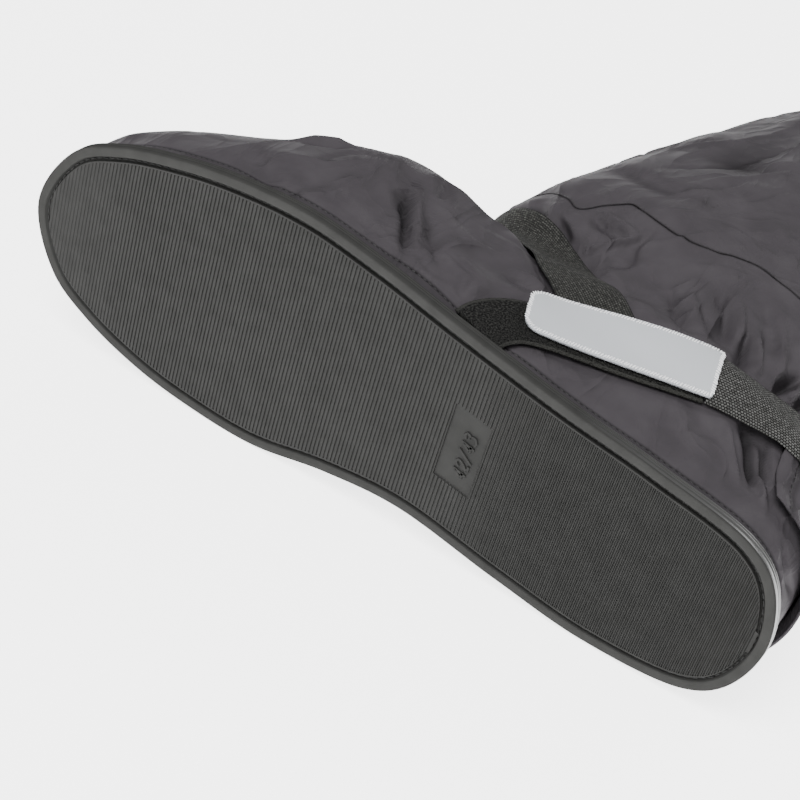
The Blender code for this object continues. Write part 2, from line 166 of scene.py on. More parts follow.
class Swell(NamedTuple):
    """A random field in the cloth: its height, the size of its cells, its seed, and a stretch of x, y, z."""

    height: float
    cell: float
    seed: int
    stretch: tuple[float, float, float] = (1.0, 1.0, 1.0)

    def at(self, points: np.ndarray) -> np.ndarray:
        """The field's values at points."""
        return self.height * value_noise(points * np.array(self.stretch), self.cell, self.seed)


class Lamp(NamedTuple):
    """A square soft light: its name, place in metres, power in watts and width in metres."""

    name: str
    spot: tuple[float, float, float]
    energy: float
    size: float


def bell(distance: np.ndarray, width: float | np.ndarray) -> np.ndarray:
    """A bell that is 1 at distance 0: e to the power of minus the squared share of the width."""
    return np.exp(-((distance / width) ** 2))


def gate(past: np.ndarray, soft: float) -> np.ndarray:
    """A soft step that falls from 1 to 0 where past goes through 0: 1 over 1 plus e to past over soft."""
    return 1.0 / (1.0 + np.exp(np.clip(past / soft, -STEEPEST, STEEPEST)))


def run_length(path: np.ndarray) -> np.ndarray:
    """Distance along a path at each of its points."""
    return np.concatenate([[0.0], np.cumsum(np.linalg.norm(np.diff(path, axis=0), axis=1))])


@dataclass
class Form:
    """The shoe's own shape: the sole's outline and the one surface that upper, shaft and straps share."""

    heel_x: float = 149.6
    axis_turn: float = math.radians(2.765)
    axis_height: float = 53.3
    floor_z: float = -0.9
    floor_rounding: float = 2.0
    outer_blunt: float = 0.10
    inner_blunt: float = 0.32
    tuck_x: float = 2.0
    tuck_length: float = 45.0
    lap: int = 3
    edge_samples: int = 2001
    reach_samples: int = 241
    measured_points: int = 1200
    halvings: int = 36
    slope_step: float = 0.01
    edge_rows: tuple[EdgeRow, ...] = (
        EdgeRow(0.0, -9.0, -9.0),
        EdgeRow(6.5, -32.0, 14.5),
        EdgeRow(19.0, -42.7, 24.8),
        EdgeRow(57.0, -48.9, 31.0),
        EdgeRow(95.0, -47.0, 34.4),
        EdgeRow(139.0, -43.3, 40.4),
        EdgeRow(170.0, -48.0, 45.2),
        EdgeRow(202.0, -56.3, 48.0),
        EdgeRow(233.0, -57.4, 45.1),
        EdgeRow(258.0, -55.1, 39.5),
        EdgeRow(284.0, -48.0, 30.4),
        EdgeRow(303.0, -37.0, 18.0),
        EdgeRow(315.2, -11.0, -11.0),
    )
    sections: tuple[Section, ...] = (
        Section(-163.6, 5.4, 49.8, 147.6, 5.4, 36.9, 50.0, 45.0, 1.00, -1.4, 0.0),
        Section(-163.2, 11.0, 50.2, 147.3, 10.0, 37.5, 50.0, 45.0, 0.99, -1.4, 0.0),
        Section(-161.0, 18.0, 51.0, 147.0, 16.0, 38.0, 50.0, 45.0, 0.98, -1.5, 0.0),
        Section(-156.0, 26.0, 52.0, 146.5, 23.0, 38.0, 49.0, 44.0, 0.96, -1.5, 0.5),
        Section(-147.0, 35.0, 53.0, 146.0, 30.0, 38.5, 49.0, 42.0, 0.93, -0.5, 3.0),
        Section(-131.0, 46.0, 54.5, 145.0, 37.0, 39.0, 50.0, 40.0, 0.89, 0.5, 8.0),
        Section(-108.0, 61.0, 56.0, 144.0, 44.0, 39.5, 51.0, 38.0, 0.80, 2.0, 15.0),
        Section(-80.0, 78.0, 56.0, 143.0, 52.0, 40.0, 49.0, 37.0, 0.60, 2.0, 20.0),
        Section(-50.0, 91.0, 51.0, 142.0, 61.0, 40.0, 45.0, 36.5, 0.34, 0.0, 18.0),
        Section(-31.0, 102.0, 47.0, 141.0, 72.0, 40.0, 44.0, 36.0, 0.12, 0.0, 10.0),
        Section(-34.0, 120.0, 51.0, 141.0, 88.0, 40.0, 44.0, 36.5, 0.00, 0.0, 3.0),
        Section(-33.0, 148.0, 52.0, 143.0, 108.0, 40.0, 46.0, 39.0, 0.00, 0.0, 0.0),
        Section(-28.0, 182.0, 51.0, 149.0, 138.0, 40.0, 46.0, 43.0, 0.00, 0.0, 0.0),
        Section(-10.0, 252.0, 49.0, 166.0, 210.0, 40.0, 46.0, 47.0, 0.00, 0.0, 0.0),
        Section(8.0, 322.0, 48.0, 182.0, 283.0, 40.0, 45.0, 48.0, 0.00, 0.0, 0.0),
        Section(26.0, 392.0, 47.0, 198.0, 355.0, 40.0, 44.0, 48.0, 0.00, 0.0, 0.0),
    )
    table: np.ndarray = field(init=False)
    top_level: float = field(init=False)
    shift: np.ndarray = field(init=False)
    reach: tuple[np.ndarray, np.ndarray, np.ndarray] = field(init=False)

    def __post_init__(self) -> None:
        """Measure the sole's reach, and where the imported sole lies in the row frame."""
        self.table = np.array(self.sections)
        self.top_level = float(len(self.sections) - 1)
        edge = self.to_shoe(self.edge(self.measured_points))
        self.reach = self.edge_reach(edge)
        low = np.array(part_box("outsole")[0]) / MM
        self.shift = low - np.array([edge[:, 0].min(), 0.0, edge[:, 1].min()])

    def edge(self, count: int) -> np.ndarray:
        """The sole's closed edge, from the toe along the inner side: a smooth curve through its rows.

        Args:
            count: How many points, at even steps.

        Returns:
            Points (along, aside) in the foot's axes.
        """
        inner = [(self.heel_x - row.from_heel, row.inner) for row in reversed(self.edge_rows)]
        outer = [(self.heel_x - row.from_heel, row.outer) for row in self.edge_rows[1:-1]]
        points = np.array(inner + outer)
        wrapped = np.vstack([points[-self.lap :], points, points[: self.lap]])
        steps = np.sqrt(np.linalg.norm(np.diff(wrapped, axis=0), axis=1))
        run = np.concatenate([[0.0], np.cumsum(steps)])
        lap_run = np.linspace(run[self.lap], run[self.lap + len(points)], self.edge_samples)
        fine = hermite(lap_run, run, wrapped)
        length = run_length(fine)
        even = np.linspace(0.0, length[-1], count, endpoint=False)
        return np.stack([np.interp(even, length, fine[:, 0]), np.interp(even, length, fine[:, 1])], axis=1)

    def inset(self, edge: np.ndarray, distance: float) -> np.ndarray:
        """A closed edge moved inwards, each point square to its neighbours.

        Args:
            edge: Points of the edge.
            distance: How far it moves.

        Returns:
            The moved points.
        """
        run = np.roll(edge, -1, axis=0) - np.roll(edge, 1, axis=0)
        run /= np.linalg.norm(run, axis=1, keepdims=True)
        return edge + distance * np.stack([-run[:, 1], run[:, 0]], axis=1)

    def to_shoe(self, points: np.ndarray) -> np.ndarray:
        """Turn points of the foot's axes by the angle between the foot and the shoe's x.

        Args:
            points: Places (along, aside).

        Returns:
            The shoe's x and z.
        """
        along, aside = points[..., 0], points[..., 1]
        x = along * math.cos(self.axis_turn) + aside * math.sin(self.axis_turn)
        z = aside * math.cos(self.axis_turn) - along * math.sin(self.axis_turn) + self.axis_height
        return np.stack([x, z], axis=-1)

    def edge_reach(self, edge: np.ndarray) -> tuple[np.ndarray, np.ndarray, np.ndarray]:
        """How far the edge reaches to both sides of its line from toe to heel.

        Args:
            edge: Points (x, z) of the edge.

        Returns:
            Fractions along the line, and the reach there on the outer and the inner side.
        """
        edge = np.roll(edge, -int(np.argmin(edge[:, 0])), axis=0)
        heel = int(np.argmax(edge[:, 0]))
        inner = edge[: heel + 1]
        outer = np.vstack([edge[heel:], edge[:1]])[::-1]
        fraction = (1.0 - np.cos(np.linspace(0.0, math.pi, self.reach_samples))) / 2.0
        x = edge[0, 0] + fraction * (edge[heel, 0] - edge[0, 0])
        line = edge[0, 1] + fraction * (edge[heel, 1] - edge[0, 1])
        out = np.interp(x, outer[:, 0], outer[:, 1]) - line
        return fraction, out, line - np.interp(x, inner[:, 0], inner[:, 1])

    def skin(self, around: np.ndarray, level: np.ndarray) -> np.ndarray:
        """Points of the cloth's outer face.

        Each section runs from its front to its back point. Its width is a mix of the sole's outline and an
        oval, drawn in beside the instep, and it is pressed flat where it would sink below the floor.

        Args:
            around: Angle from the toe by way of the outer side, in radians.
            level: Place between the rows of sections.

        Returns:
            Points with x, y, z last.
        """
        row = hermite(level, np.arange(len(self.sections)), self.table)
        fraction = (1.0 - np.cos(around)) / 2.0
        front, back = row[..., 0:3], row[..., 3:6]
        centre = front + fraction[..., None] * (back - front)
        outer, inner, sole, swell, tuck = (row[..., column] for column in range(6, 11))
        rise = np.abs(np.sin(around))
        is_outer = np.sin(around) >= 0.0
        blunt = np.where(is_outer, self.outer_blunt, self.inner_blunt) * np.cos(around) ** 2
        oval = np.where(is_outer, outer, inner) * rise * (1.0 + blunt)
        at, out, into = self.reach
        outline = np.where(is_outer, np.interp(fraction, at, out), np.interp(fraction, at, into))
        pull = np.where(is_outer, tuck, tuck / 2.0) * bell(centre[..., 0] - self.tuck_x, self.tuck_length)
        width = sole * outline + (1.0 - sole) * oval + (swell - pull) * rise
        above = centre[..., 2] + np.where(is_outer, width, -width) - self.floor_z
        z = self.floor_z + (above + np.sqrt(above**2 + self.floor_rounding**2)) / 2.0
        return np.stack([centre[..., 0], centre[..., 1], z], axis=-1)

    def level_at(self, around: np.ndarray, height: np.ndarray) -> np.ndarray:
        """Find the level at which the cloth has a height above ground, by halving the range again and again.

        Args:
            around: Angles round the shoe.
            height: Height wanted at each of them.

        Returns:
            The levels.
        """
        low = np.zeros(np.broadcast(around, height).shape)
        high = np.full_like(low, self.top_level)
        fraction = (1.0 - np.cos(np.broadcast_to(around, low.shape))) / 2.0
        for _ in range(self.halvings):
            middle = (low + high) / 2.0
            row = hermite(middle, np.arange(len(self.sections)), self.table)
            below = row[..., 1] + fraction * (row[..., 4] - row[..., 1]) < height
            low = np.where(below, middle, low)
            high = np.where(below, high, middle)
        return (low + high) / 2.0

    def on_outer(self, places: np.ndarray) -> np.ndarray:
        """Find the points of the outer side at given places, by halving the range of levels.

        Args:
            places: Rows of x and y.

        Returns:
            Points with x, y, z last.
        """
        low = np.zeros(len(places))
        high = np.full(len(places), self.top_level)
        fraction = np.zeros(len(places))
        for _ in range(self.halvings):
            middle = (low + high) / 2.0
            row = hermite(middle, np.arange(len(self.sections)), self.table)
            fraction = np.clip((places[:, 0] - row[:, 0]) / (row[:, 3] - row[:, 0]), 0.0, 1.0)
            below = row[:, 1] + fraction * (row[:, 4] - row[:, 1]) < places[:, 1]
            low = np.where(below, middle, low)
            high = np.where(below, high, middle)
        return self.skin(np.arccos(1.0 - 2.0 * fraction), (low + high) / 2.0)

    def frame_at(self, around: np.ndarray, level: np.ndarray) -> tuple[np.ndarray, np.ndarray, np.ndarray]:
        """Slopes of the cloth's face, from points a small step apart.

        Args:
            around: Angles round the shoe.
            level: Levels there.

        Returns:
            How the face moves with the angle and with the level, and its outward normal.
        """
        step = self.slope_step
        by_around = (self.skin(around + step, level) - self.skin(around - step, level)) / (2.0 * step)
        above = np.minimum(level + step, self.top_level)
        below = np.maximum(level - step, 0.0)
        by_level = (self.skin(around, above) - self.skin(around, below)) / (above - below)[..., None]
        normal = np.cross(by_around, by_level)
        return by_around, by_level, normal / np.linalg.norm(normal, axis=-1, keepdims=True)

    def lifted(self, around: np.ndarray, level: np.ndarray, lift: np.ndarray) -> np.ndarray:
        """Points at a distance off the cloth's outer face."""
        return self.skin(around, level) + self.frame_at(around, level)[2] * np.asarray(lift)[..., None]

    def to_row(self, points: np.ndarray) -> np.ndarray:
        """Points of the shoe's own frame in the row frame, in metres."""
        return (points + self.shift) * MM


def linear(code: str) -> tuple[float, float, float, float]:
    """Turn a colour into linear light.

    Args:
        code: The colour as sRGB hex.

    Returns:
        Red, green, blue and a full alpha.
    """
    parts = [int(code[i : i + 2], 16) / 255.0 for i in (1, 3, 5)]
    light = [p / 12.92 if p <= 0.04045 else ((p + 0.055) / 1.055) ** 2.4 for p in parts]
    return (*light, 1.0)


def add_node(tree: bpy.types.NodeTree, kind: str, inputs: dict, **settings: object) -> bpy.types.Node:
    """Add a shader node.

    Args:
        tree: The material's node tree.
        kind: The node's type.
        inputs: Socket name or number, to a constant or to the output socket that feeds it.
        settings: Properties of the node.

    Returns:
        The new node.
    """
    node = tree.nodes.new(kind)
    for name, value in settings.items():
        setattr(node, name, value)
    for socket, value in inputs.items():
        if isinstance(value, bpy.types.NodeSocket):
            tree.links.new(value, node.inputs[socket])
        else:
            node.inputs[socket].default_value = value
    return node


def new_material(name: str) -> tuple[bpy.types.Material, bpy.types.NodeTree, bpy.types.Node]:
    """An empty material.

    Args:
        name: What the finish is made of.

    Returns:
        The material, its node tree and its main shader.
    """
    material = bpy.data.materials.new(name)
    material.use_nodes = True
    return material, material.node_tree, material.node_tree.nodes["Principled BSDF"]


@dataclass(frozen=True)
class CoatedNylon:
    """Plain woven nylon with a coating: even dark cloth, hardly any shine, with painted shade in creases and
    along seams.
    """

    name: str = "coated_nylon_plain_weave"
    colour: str = "#3a373a"
    worn: str = "#423f42"
    # Painted shade: the near black towards which creases and seams are darkened.
    deep: str = "#181718"
    roughness: float = 0.66
    specular: float = 0.08
    mottle_mm: float = 14.0
    mottle_from: float = 0.35
    mottle_to: float = 0.75
    # Real threads lie about 0.15 mm apart. They are drawn coarser, so that a grain shows in the render.
    thread_mm: float = 0.5
    thread_height: float = 0.1
    thread_strength: float = 0.12
    crumple_mm: float = 24.0
    crumple_stretch: tuple[float, float, float] = (1.0, 0.55, 1.0)
    crumple_height: float = 1.5

    def build(self) -> bpy.types.Material:
        """Colour from broad mottling with painted shade from the crease attribute, with crumples and fine
        thread in the bump.

        Returns:
            The finish.
        """
        material, tree, shader = new_material(self.name)
        place = add_node(tree, "ShaderNodeTexCoord", {}).outputs["Object"]
        # Painted shade: the crease attribute darkens the cloth in deep creases and along the seams.
        crease = add_node(tree, "ShaderNodeAttribute", {}, attribute_name="crease").outputs["Fac"]
        # Rubbed patches: the cloth is a little paler in broad spots.
        mottle = add_node(
            tree, "ShaderNodeTexNoise", {"Vector": place, "Scale": 1.0 / (self.mottle_mm * MM), "Detail": 5.0}
        ).outputs["Fac"]
        rubbed = add_node(
            tree,
            "ShaderNodeMapRange",
            {"Value": mottle, "From Min": self.mottle_from, "From Max": self.mottle_to},
        ).outputs["Result"]
        cloth = add_node(
            tree,
            "ShaderNodeMix",
            {MIX_SHARE: rubbed, MIX_FIRST: linear(self.colour), MIX_SECOND: linear(self.worn)},
            data_type="RGBA",
        ).outputs[MIX_RESULT]
        cloth_with_painted_shade = add_node(
            tree,
            "ShaderNodeMix",
            {MIX_SHARE: crease, MIX_FIRST: cloth, MIX_SECOND: linear(self.deep)},
            data_type="RGBA",
        ).outputs[MIX_RESULT]
        # Crumples: sharp small ridges that run along the leg.
        drawn = add_node(
            tree, "ShaderNodeMapping", {"Vector": place, "Scale": self.crumple_stretch}
        ).outputs["Vector"]
        crumple = add_node(
            tree,
            "ShaderNodeTexNoise",
            {
                "Vector": drawn,
                "Scale": 1.0 / (self.crumple_mm * MM),
                "Detail": 3.0,
                "Distortion": 0.6,
                "Offset": 1.0,
            },
            noise_type="RIDGED_MULTIFRACTAL",
        ).outputs["Fac"]
        thread = add_node(
            tree, "ShaderNodeTexNoise", {"Vector": place, "Scale": 1.0 / (self.thread_mm * MM), "Detail": 2.0}
        ).outputs["Fac"]
        soft = add_node(
            tree,
            "ShaderNodeBump",
            {"Height": crumple, "Strength": 1.0, "Distance": self.crumple_height * MM},
        ).outputs["Normal"]
        bump = add_node(
            tree,
            "ShaderNodeBump",
            {
                "Height": thread,
                "Strength": self.thread_strength,
                "Distance": self.thread_height * MM,
                "Normal": soft,
            },
        ).outputs["Normal"]
        tree.links.new(cloth_with_painted_shade, shader.inputs["Base Color"])
        tree.links.new(bump, shader.inputs["Normal"])
        shader.inputs["Roughness"].default_value = self.roughness
        shader.inputs["Specular IOR Level"].default_value = self.specular
        return material


@dataclass(frozen=True)
class SheetRubber:
    """Black sheet rubber, moulded: dull dark grey with fine grain, and rubbed glossy at the heel's side."""

    name: str = "sheet_rubber_moulded"
    colour: str = "#232322"
    pale: str = "#292928"
    roughness: float = 0.62
    grain_mm: float = 0.4
    grain: float = 0.15
    specular: float = 0.1
    gloss_from: float = 0.0
    gloss_to: float = 0.0
    gloss: float = 0.0
    grain_height: float = 0.15
    cloud_mm: float = 6.0
    cloud_from: float = 0.3
    cloud_to: float = 0.7

    def build(self) -> bpy.types.Material:
        """Two near greys mixed by noise, with grain in the bump, and a gloss that rises along the foot.

        Returns:
            The finish.
        """
        material, tree, shader = new_material(self.name)
        place = add_node(tree, "ShaderNodeTexCoord", {}).outputs["Object"]
        cloud = add_node(
            tree, "ShaderNodeTexNoise", {"Vector": place, "Scale": 1.0 / (self.cloud_mm * MM), "Detail": 6.0}
        ).outputs["Fac"]
        dusty = add_node(
            tree,
            "ShaderNodeMapRange",
            {"Value": cloud, "From Min": self.cloud_from, "From Max": self.cloud_to},
        ).outputs["Result"]
        colour = add_node(
            tree,
            "ShaderNodeMix",
            {MIX_SHARE: dusty, MIX_FIRST: linear(self.colour), MIX_SECOND: linear(self.pale)},
            data_type="RGBA",
        ).outputs[MIX_RESULT]
        fine = add_node(
            tree, "ShaderNodeTexNoise", {"Vector": place, "Scale": 1.0 / (self.grain_mm * MM)}
        ).outputs["Fac"]
        bump = add_node(
            tree,
            "ShaderNodeBump",
            {"Height": fine, "Strength": self.grain, "Distance": self.grain_height * MM},
        ).outputs["Normal"]
        tree.links.new(colour, shader.inputs["Base Color"])
        tree.links.new(bump, shader.inputs["Normal"])
        shader.inputs["Roughness"].default_value = self.roughness
        shader.inputs["Specular IOR Level"].default_value = self.specular
        if self.gloss > 0.0:
            along = add_node(tree, "ShaderNodeSeparateXYZ", {0: place}).outputs["X"]
            shine = add_node(
                tree,
                "ShaderNodeMapRange",
                {
                    "Value": along,
                    "From Min": self.gloss_from * MM,
                    "From Max": self.gloss_to * MM,
                    "To Min": self.specular,
                    "To Max": self.gloss,
                },
            ).outputs["Result"]
            tree.links.new(shine, shader.inputs["Specular IOR Level"])
        return material


@dataclass(frozen=True)
class WovenWebbing:
    """Flat woven webbing: matt offset rows of raised yarn with painted shade in the gaps, on the strap's
    length and width.
    """

    name: str = "webbing_basket_weave"
    yarn: str = "#696967"
    shade: str = "#4a4a48"
    # Painted shade: the near black in the gaps between the yarns.
    gap: str = "#050505"
    yarn_mm: float = 1.15
    row_mm: float = 1.0
    gap_mm: float = 0.45
    speckle: float = 0.6
    soil: str = "#8a8a8a"
    soil_scale: float = 1.3
    soil_from: float = 0.38
    soil_to: float = 0.62
    yarn_height: float = 0.3
    roughness: float = 0.85
    specular: float = 0.15

    def build(self) -> bpy.types.Material:
        """Brick pattern on the strap's UV, with painted shade in the mortar, speckled by noise, raised in the
        bump.

        Returns:
            The finish.
        """
        material, tree, shader = new_material(self.name)
        flat = add_node(tree, "ShaderNodeTexCoord", {}).outputs["UV"]
        weave = add_node(
            tree,
            "ShaderNodeTexBrick",
            {
                "Vector": flat,
                "Color1": linear(self.yarn),
                "Color2": linear(self.shade),
                "Mortar": linear(self.gap),
                "Scale": 1.0,
                "Mortar Size": self.gap_mm / 2.0,
                "Mortar Smooth": 0.8,
                "Bias": 0.0,
                "Brick Width": self.yarn_mm,
                "Row Height": self.row_mm,
            },
        )
        noise = add_node(
            tree, "ShaderNodeTexNoise", {"Vector": flat, "Scale": self.soil_scale, "Detail": 3.0}
        ).outputs["Fac"]
        clean = add_node(
            tree, "ShaderNodeMapRange", {"Value": noise, "From Min": self.soil_from, "From Max": self.soil_to}
        ).outputs["Result"]
        dull = add_node(
            tree,
            "ShaderNodeMix",
            {MIX_SHARE: clean, MIX_FIRST: linear(self.soil), MIX_SECOND: WHITE},
            data_type="RGBA",
        ).outputs[MIX_RESULT]
        colour = add_node(
            tree,
            "ShaderNodeMix",
            {MIX_SHARE: self.speckle, MIX_FIRST: weave.outputs["Color"], MIX_SECOND: dull},
            data_type="RGBA",
            blend_type="MULTIPLY",
        ).outputs[MIX_RESULT]
        raised = add_node(
            tree, "ShaderNodeMath", {0: 1.0, 1: weave.outputs["Fac"]}, operation="SUBTRACT"
        ).outputs[0]
        bump = add_node(
            tree, "ShaderNodeBump", {"Height": raised, "Strength": 0.8, "Distance": self.yarn_height * MM}
        ).outputs["Normal"]
        tree.links.new(colour, shader.inputs["Base Color"])
        tree.links.new(bump, shader.inputs["Normal"])
        shader.inputs["Roughness"].default_value = self.roughness
        shader.inputs["Specular IOR Level"].default_value = self.specular
        return material


@dataclass(frozen=True)
class LoopPile:
    """Fastening pile, knitted: near black matted loops without shine, with a plain woven edge each side."""

    name: str = "loop_pile_knitted"
    loop: str = "#343432"
    deep: str = "#060606"
    edge: str = "#2f2f2d"
    # Real loops are about 0.3 mm wide. They are drawn coarser, so that the fuzz shows in the render.
    loop_mm: float = 0.65
    loop_height: float = 0.6
    tuft_scale: float = 1.5
    tuft_from: float = 0.42
    tuft_to: float = 0.72
    half_width: float = 10.5
    edge_mm: float = 1.2
    roughness: float = 0.95
    specular: float = 0.15

    def build(self) -> bpy.types.Material:
        """Cells as loops on the strip's UV, and a paler selvedge by the distance from the middle.

        Returns:
            The finish.
        """
        material, tree, shader = new_material(self.name)
        flat = add_node(tree, "ShaderNodeTexCoord", {}).outputs["UV"]
        cells = add_node(tree, "ShaderNodeTexVoronoi", {"Vector": flat, "Scale": 1.0 / self.loop_mm})
        noise = add_node(
            tree, "ShaderNodeTexNoise", {"Vector": flat, "Scale": self.tuft_scale, "Detail": 6.0}
        ).outputs["Fac"]
        tufts = add_node(
            tree, "ShaderNodeMapRange", {"Value": noise, "From Min": self.tuft_from, "From Max": self.tuft_to}
        ).outputs["Result"]
        loops = add_node(
            tree,
            "ShaderNodeMix",
            {MIX_SHARE: tufts, MIX_FIRST: linear(self.deep), MIX_SECOND: linear(self.loop)},
            data_type="RGBA",
        ).outputs[MIX_RESULT]
        aside = add_node(tree, "ShaderNodeSeparateXYZ", {0: flat}).outputs["Y"]
        away = add_node(tree, "ShaderNodeMath", {0: aside}, operation="ABSOLUTE").outputs[0]
        border = add_node(
            tree, "ShaderNodeMath", {0: away, 1: self.half_width - self.edge_mm}, operation="GREATER_THAN"
        ).outputs[0]
        colour = add_node(
            tree,
            "ShaderNodeMix",
            {MIX_SHARE: border, MIX_FIRST: loops, MIX_SECOND: linear(self.edge)},
            data_type="RGBA",
        ).outputs[MIX_RESULT]
        bump = add_node(
            tree,
            "ShaderNodeBump",
            {"Height": cells.outputs["Distance"], "Strength": 0.9, "Distance": self.loop_height * MM},
        ).outputs["Normal"]
        tree.links.new(colour, shader.inputs["Base Color"])
        tree.links.new(bump, shader.inputs["Normal"])
        shader.inputs["Roughness"].default_value = self.roughness
        shader.inputs["Specular IOR Level"].default_value = self.specular
        return material


@dataclass(frozen=True)
class Plain:
    """An even finish with a little grain that breaks its shine: film, spun thread or pressed board."""

    name: str
    colour: str
    roughness: float
    # Beads of film and fibres of thread are finer: the grain is drawn coarser, so that it shows.
    grain_mm: float = 0.8
    grain: float = 0.1
    grain_height: float = 0.1

    def build(self) -> bpy.types.Material:
        """One colour with fine noise in the bump.

        Returns:
            The finish.
        """
        material, tree, shader = new_material(self.name)
        place = add_node(tree, "ShaderNodeTexCoord", {}).outputs["Object"]
        fine = add_node(
            tree, "ShaderNodeTexNoise", {"Vector": place, "Scale": 1.0 / (self.grain_mm * MM)}
        ).outputs["Fac"]
        bump = add_node(
            tree,
            "ShaderNodeBump",
            {"Height": fine, "Strength": self.grain, "Distance": self.grain_height * MM},
        ).outputs["Normal"]
        tree.links.new(bump, shader.inputs["Normal"])
        shader.inputs["Base Color"].default_value = linear(self.colour)
        shader.inputs["Roughness"].default_value = self.roughness
        return material


@dataclass(frozen=True)
class Finishes:
    """The finished materials of the sole, the straps and the tab."""

    rim: bpy.types.Material
    side: bpy.types.Material
    tread: bpy.types.Material
    sole_thread: bpy.types.Material
    webbing: bpy.types.Material
    fine_webbing: bpy.types.Material
    pile: bpy.types.Material
    film: bpy.types.Material
    white_thread: bpy.types.Material


def grid_quads(rows: int, columns: int, closed: bool) -> np.ndarray:
    """Corner numbers of a grid's quads: each corner with its neighbours in the same and the next row.

    Args:
        rows: Rows of the grid.
        columns: Corners in a row.
        closed: Whether each row closes on itself.

    Returns:
        Four corner numbers for each quad.
    """
    row = np.arange(rows - 1)[:, None]
    column = np.arange(columns if closed else columns - 1)[None, :]
    here, above, beside = row * columns, (row + 1) * columns, (column + 1) % columns
    corners = [here + column, here + beside, above + beside, above + column]
    return np.stack(np.broadcast_arrays(*corners), axis=-1).reshape(-1, 4)


def tube_faces(rows: int, columns: int, turned: bool = False) -> list[list[int]]:
    """Faces of a closed tube: quads between its rings and one face at either end.

    Args:
        rows: Rings along the tube.
        columns: Corners in a ring.
        turned: Whether the faces run the other way round.

    Returns:
        Corner numbers of each face.
    """
    last = (rows - 1) * columns
    faces = grid_quads(rows, columns, True).tolist()
    faces += [list(range(columns))[::-1], list(range(last, last + columns))]
    return [face[::-1] for face in faces] if turned else faces


def add_piece(
    name: str, points: np.ndarray, faces: list, material: bpy.types.Material, smooth: bool = True
) -> bpy.types.Object:
    """A mesh piece that rides on the shoe.

    Args:
        name: The piece's name.
        points: Corners in the row frame, in metres.
        faces: Corner numbers of each face.
        material: Its finish.
        smooth: Whether its faces are shaded smooth.

    Returns:
        The new object.
    """
    mesh = bpy.data.meshes.new(name)
    mesh.from_pydata(points.reshape(-1, 3).tolist(), [], faces)
    mesh.materials.append(material)
    mesh.polygons.foreach_set("use_smooth", np.full(len(mesh.polygons), smooth))
    piece = bpy.data.objects.new(name, mesh)
    bpy.context.scene.collection.objects.link(piece)
    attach(piece, BODY)
    log.info("%s: %d faces", name, len(faces))
    return piece


def set_uv(piece: bpy.types.Object, flat: np.ndarray) -> None:
    """Give a piece's corners their flat coordinates.

    Args:
        piece: The piece.
        flat: Distance along and aside of each point, in millimetres.
    """
    mesh = piece.data
    layer = mesh.uv_layers.new(name="flat")
    corner = np.zeros(len(mesh.loops), np.int32)
    mesh.loops.foreach_get("vertex_index", corner)
    layer.data.foreach_set("uv", flat.reshape(-1, 2)[corner].astype(np.float32).ravel())


def set_painted_shade(piece: bpy.types.Object, deep: np.ndarray) -> None:
    """Store painted shade at each point, from 0 to 1, which darkens the nylon's colour in creases and along
    seams.
    """
    crease = piece.data.attributes.new("crease", "FLOAT", "POINT")
    crease.data.foreach_set("value", deep.astype(np.float32).ravel())


def add_wall(piece: bpy.types.Object, thickness: float, inwards: bool = True) -> None:
    """Give a sheet its real thickness.

    Args:
        piece: The sheet.
        thickness: In millimetres.
        inwards: Whether the wall grows behind the sheet's faces.
    """
    wall = piece.modifiers.new("wall", "SOLIDIFY")
    wall.thickness = thickness * MM
    wall.offset = -1.0 if inwards else 1.0


@dataclass(frozen=True)
class StitchRow:
    """A row of stitches along a line: each one a small rounded bar, as long, wide and high as stated."""

    pitch: float = 2.6
    length: float = 1.7
    width: float = 0.5
    height: float = 0.4
    jitter: float = 0.1
    seed: int = 5
    blunt: float = 0.25
    reach: float = 0.6
    rings: int = 7
    sides: int = 6

    def points(
        self, path: np.ndarray, up: np.ndarray, turn: float = 0.0
    ) -> tuple[np.ndarray, list[list[int]]]:
        """Bars at even steps along a path, each a little out of line.

        A bar's rings follow a half turn: the cosine gives the place along it, the root of the sine its girth.

        Args:
            path: Points along the line, in millimetres.
            up: The way out of the cloth at each of them.
            turn: Angle of each bar across the line, in radians.

        Returns:
            Corners in millimetres and the faces.
        """
        run = run_length(path)
        count = max(2, int(run[-1] / self.pitch))
        shake = np.random.default_rng(self.seed).uniform(-1.0, 1.0, (count, 3)) * self.jitter
        at = (np.arange(count) + 0.5) * run[-1] / count
        before, middle, after = (
            np.stack([np.interp(at + step, run, path[:, axis]) for axis in range(3)], axis=1)
            for step in (-self.reach, 0.0, self.reach)
        )
        out = np.stack([np.interp(at, run, up[:, axis]) for axis in range(3)], axis=1)
        along = after - before
        along /= np.linalg.norm(along, axis=1, keepdims=True)
        out -= along * np.sum(out * along, axis=1, keepdims=True)
        out /= np.linalg.norm(out, axis=1, keepdims=True)
        side = np.cross(out, along)
        angle = turn + shake[:, 2]
        bar = along * np.cos(angle)[:, None] + side * np.sin(angle)[:, None]
        across = np.cross(out, bar)
        polar = np.linspace(self.blunt, math.pi - self.blunt, self.rings)
        spin = np.linspace(0.0, 2.0 * math.pi, self.sides, endpoint=False)
        girth = np.sqrt(np.sin(polar))[:, None]
        lengthwise = -np.cos(polar)[:, None] / math.cos(self.blunt) * np.ones(self.sides) * self.length / 2.0
        sideways = girth * np.cos(spin) * self.width / 2.0
        upwards = girth * np.sin(spin) * self.height / 2.0
        bars = (middle + along * shake[:, :1] + side * shake[:, 1:2])[:, None, None, :]
        for way, part in ((bar, lengthwise), (across, sideways), (out, upwards)):
            bars = bars + way[:, None, None, :] * part[:, :, None]
        size = self.rings * self.sides
        first = (np.arange(count) * size)[:, None, None]
        quads = grid_quads(self.rings, self.sides, True) + first
        ends = np.array([np.arange(self.sides)[::-1], np.arange(size - self.sides, size)]) + first
        faces = quads.reshape(-1, 4).tolist() + ends.reshape(-1, self.sides).tolist()
        return bars.reshape(-1, 3), faces


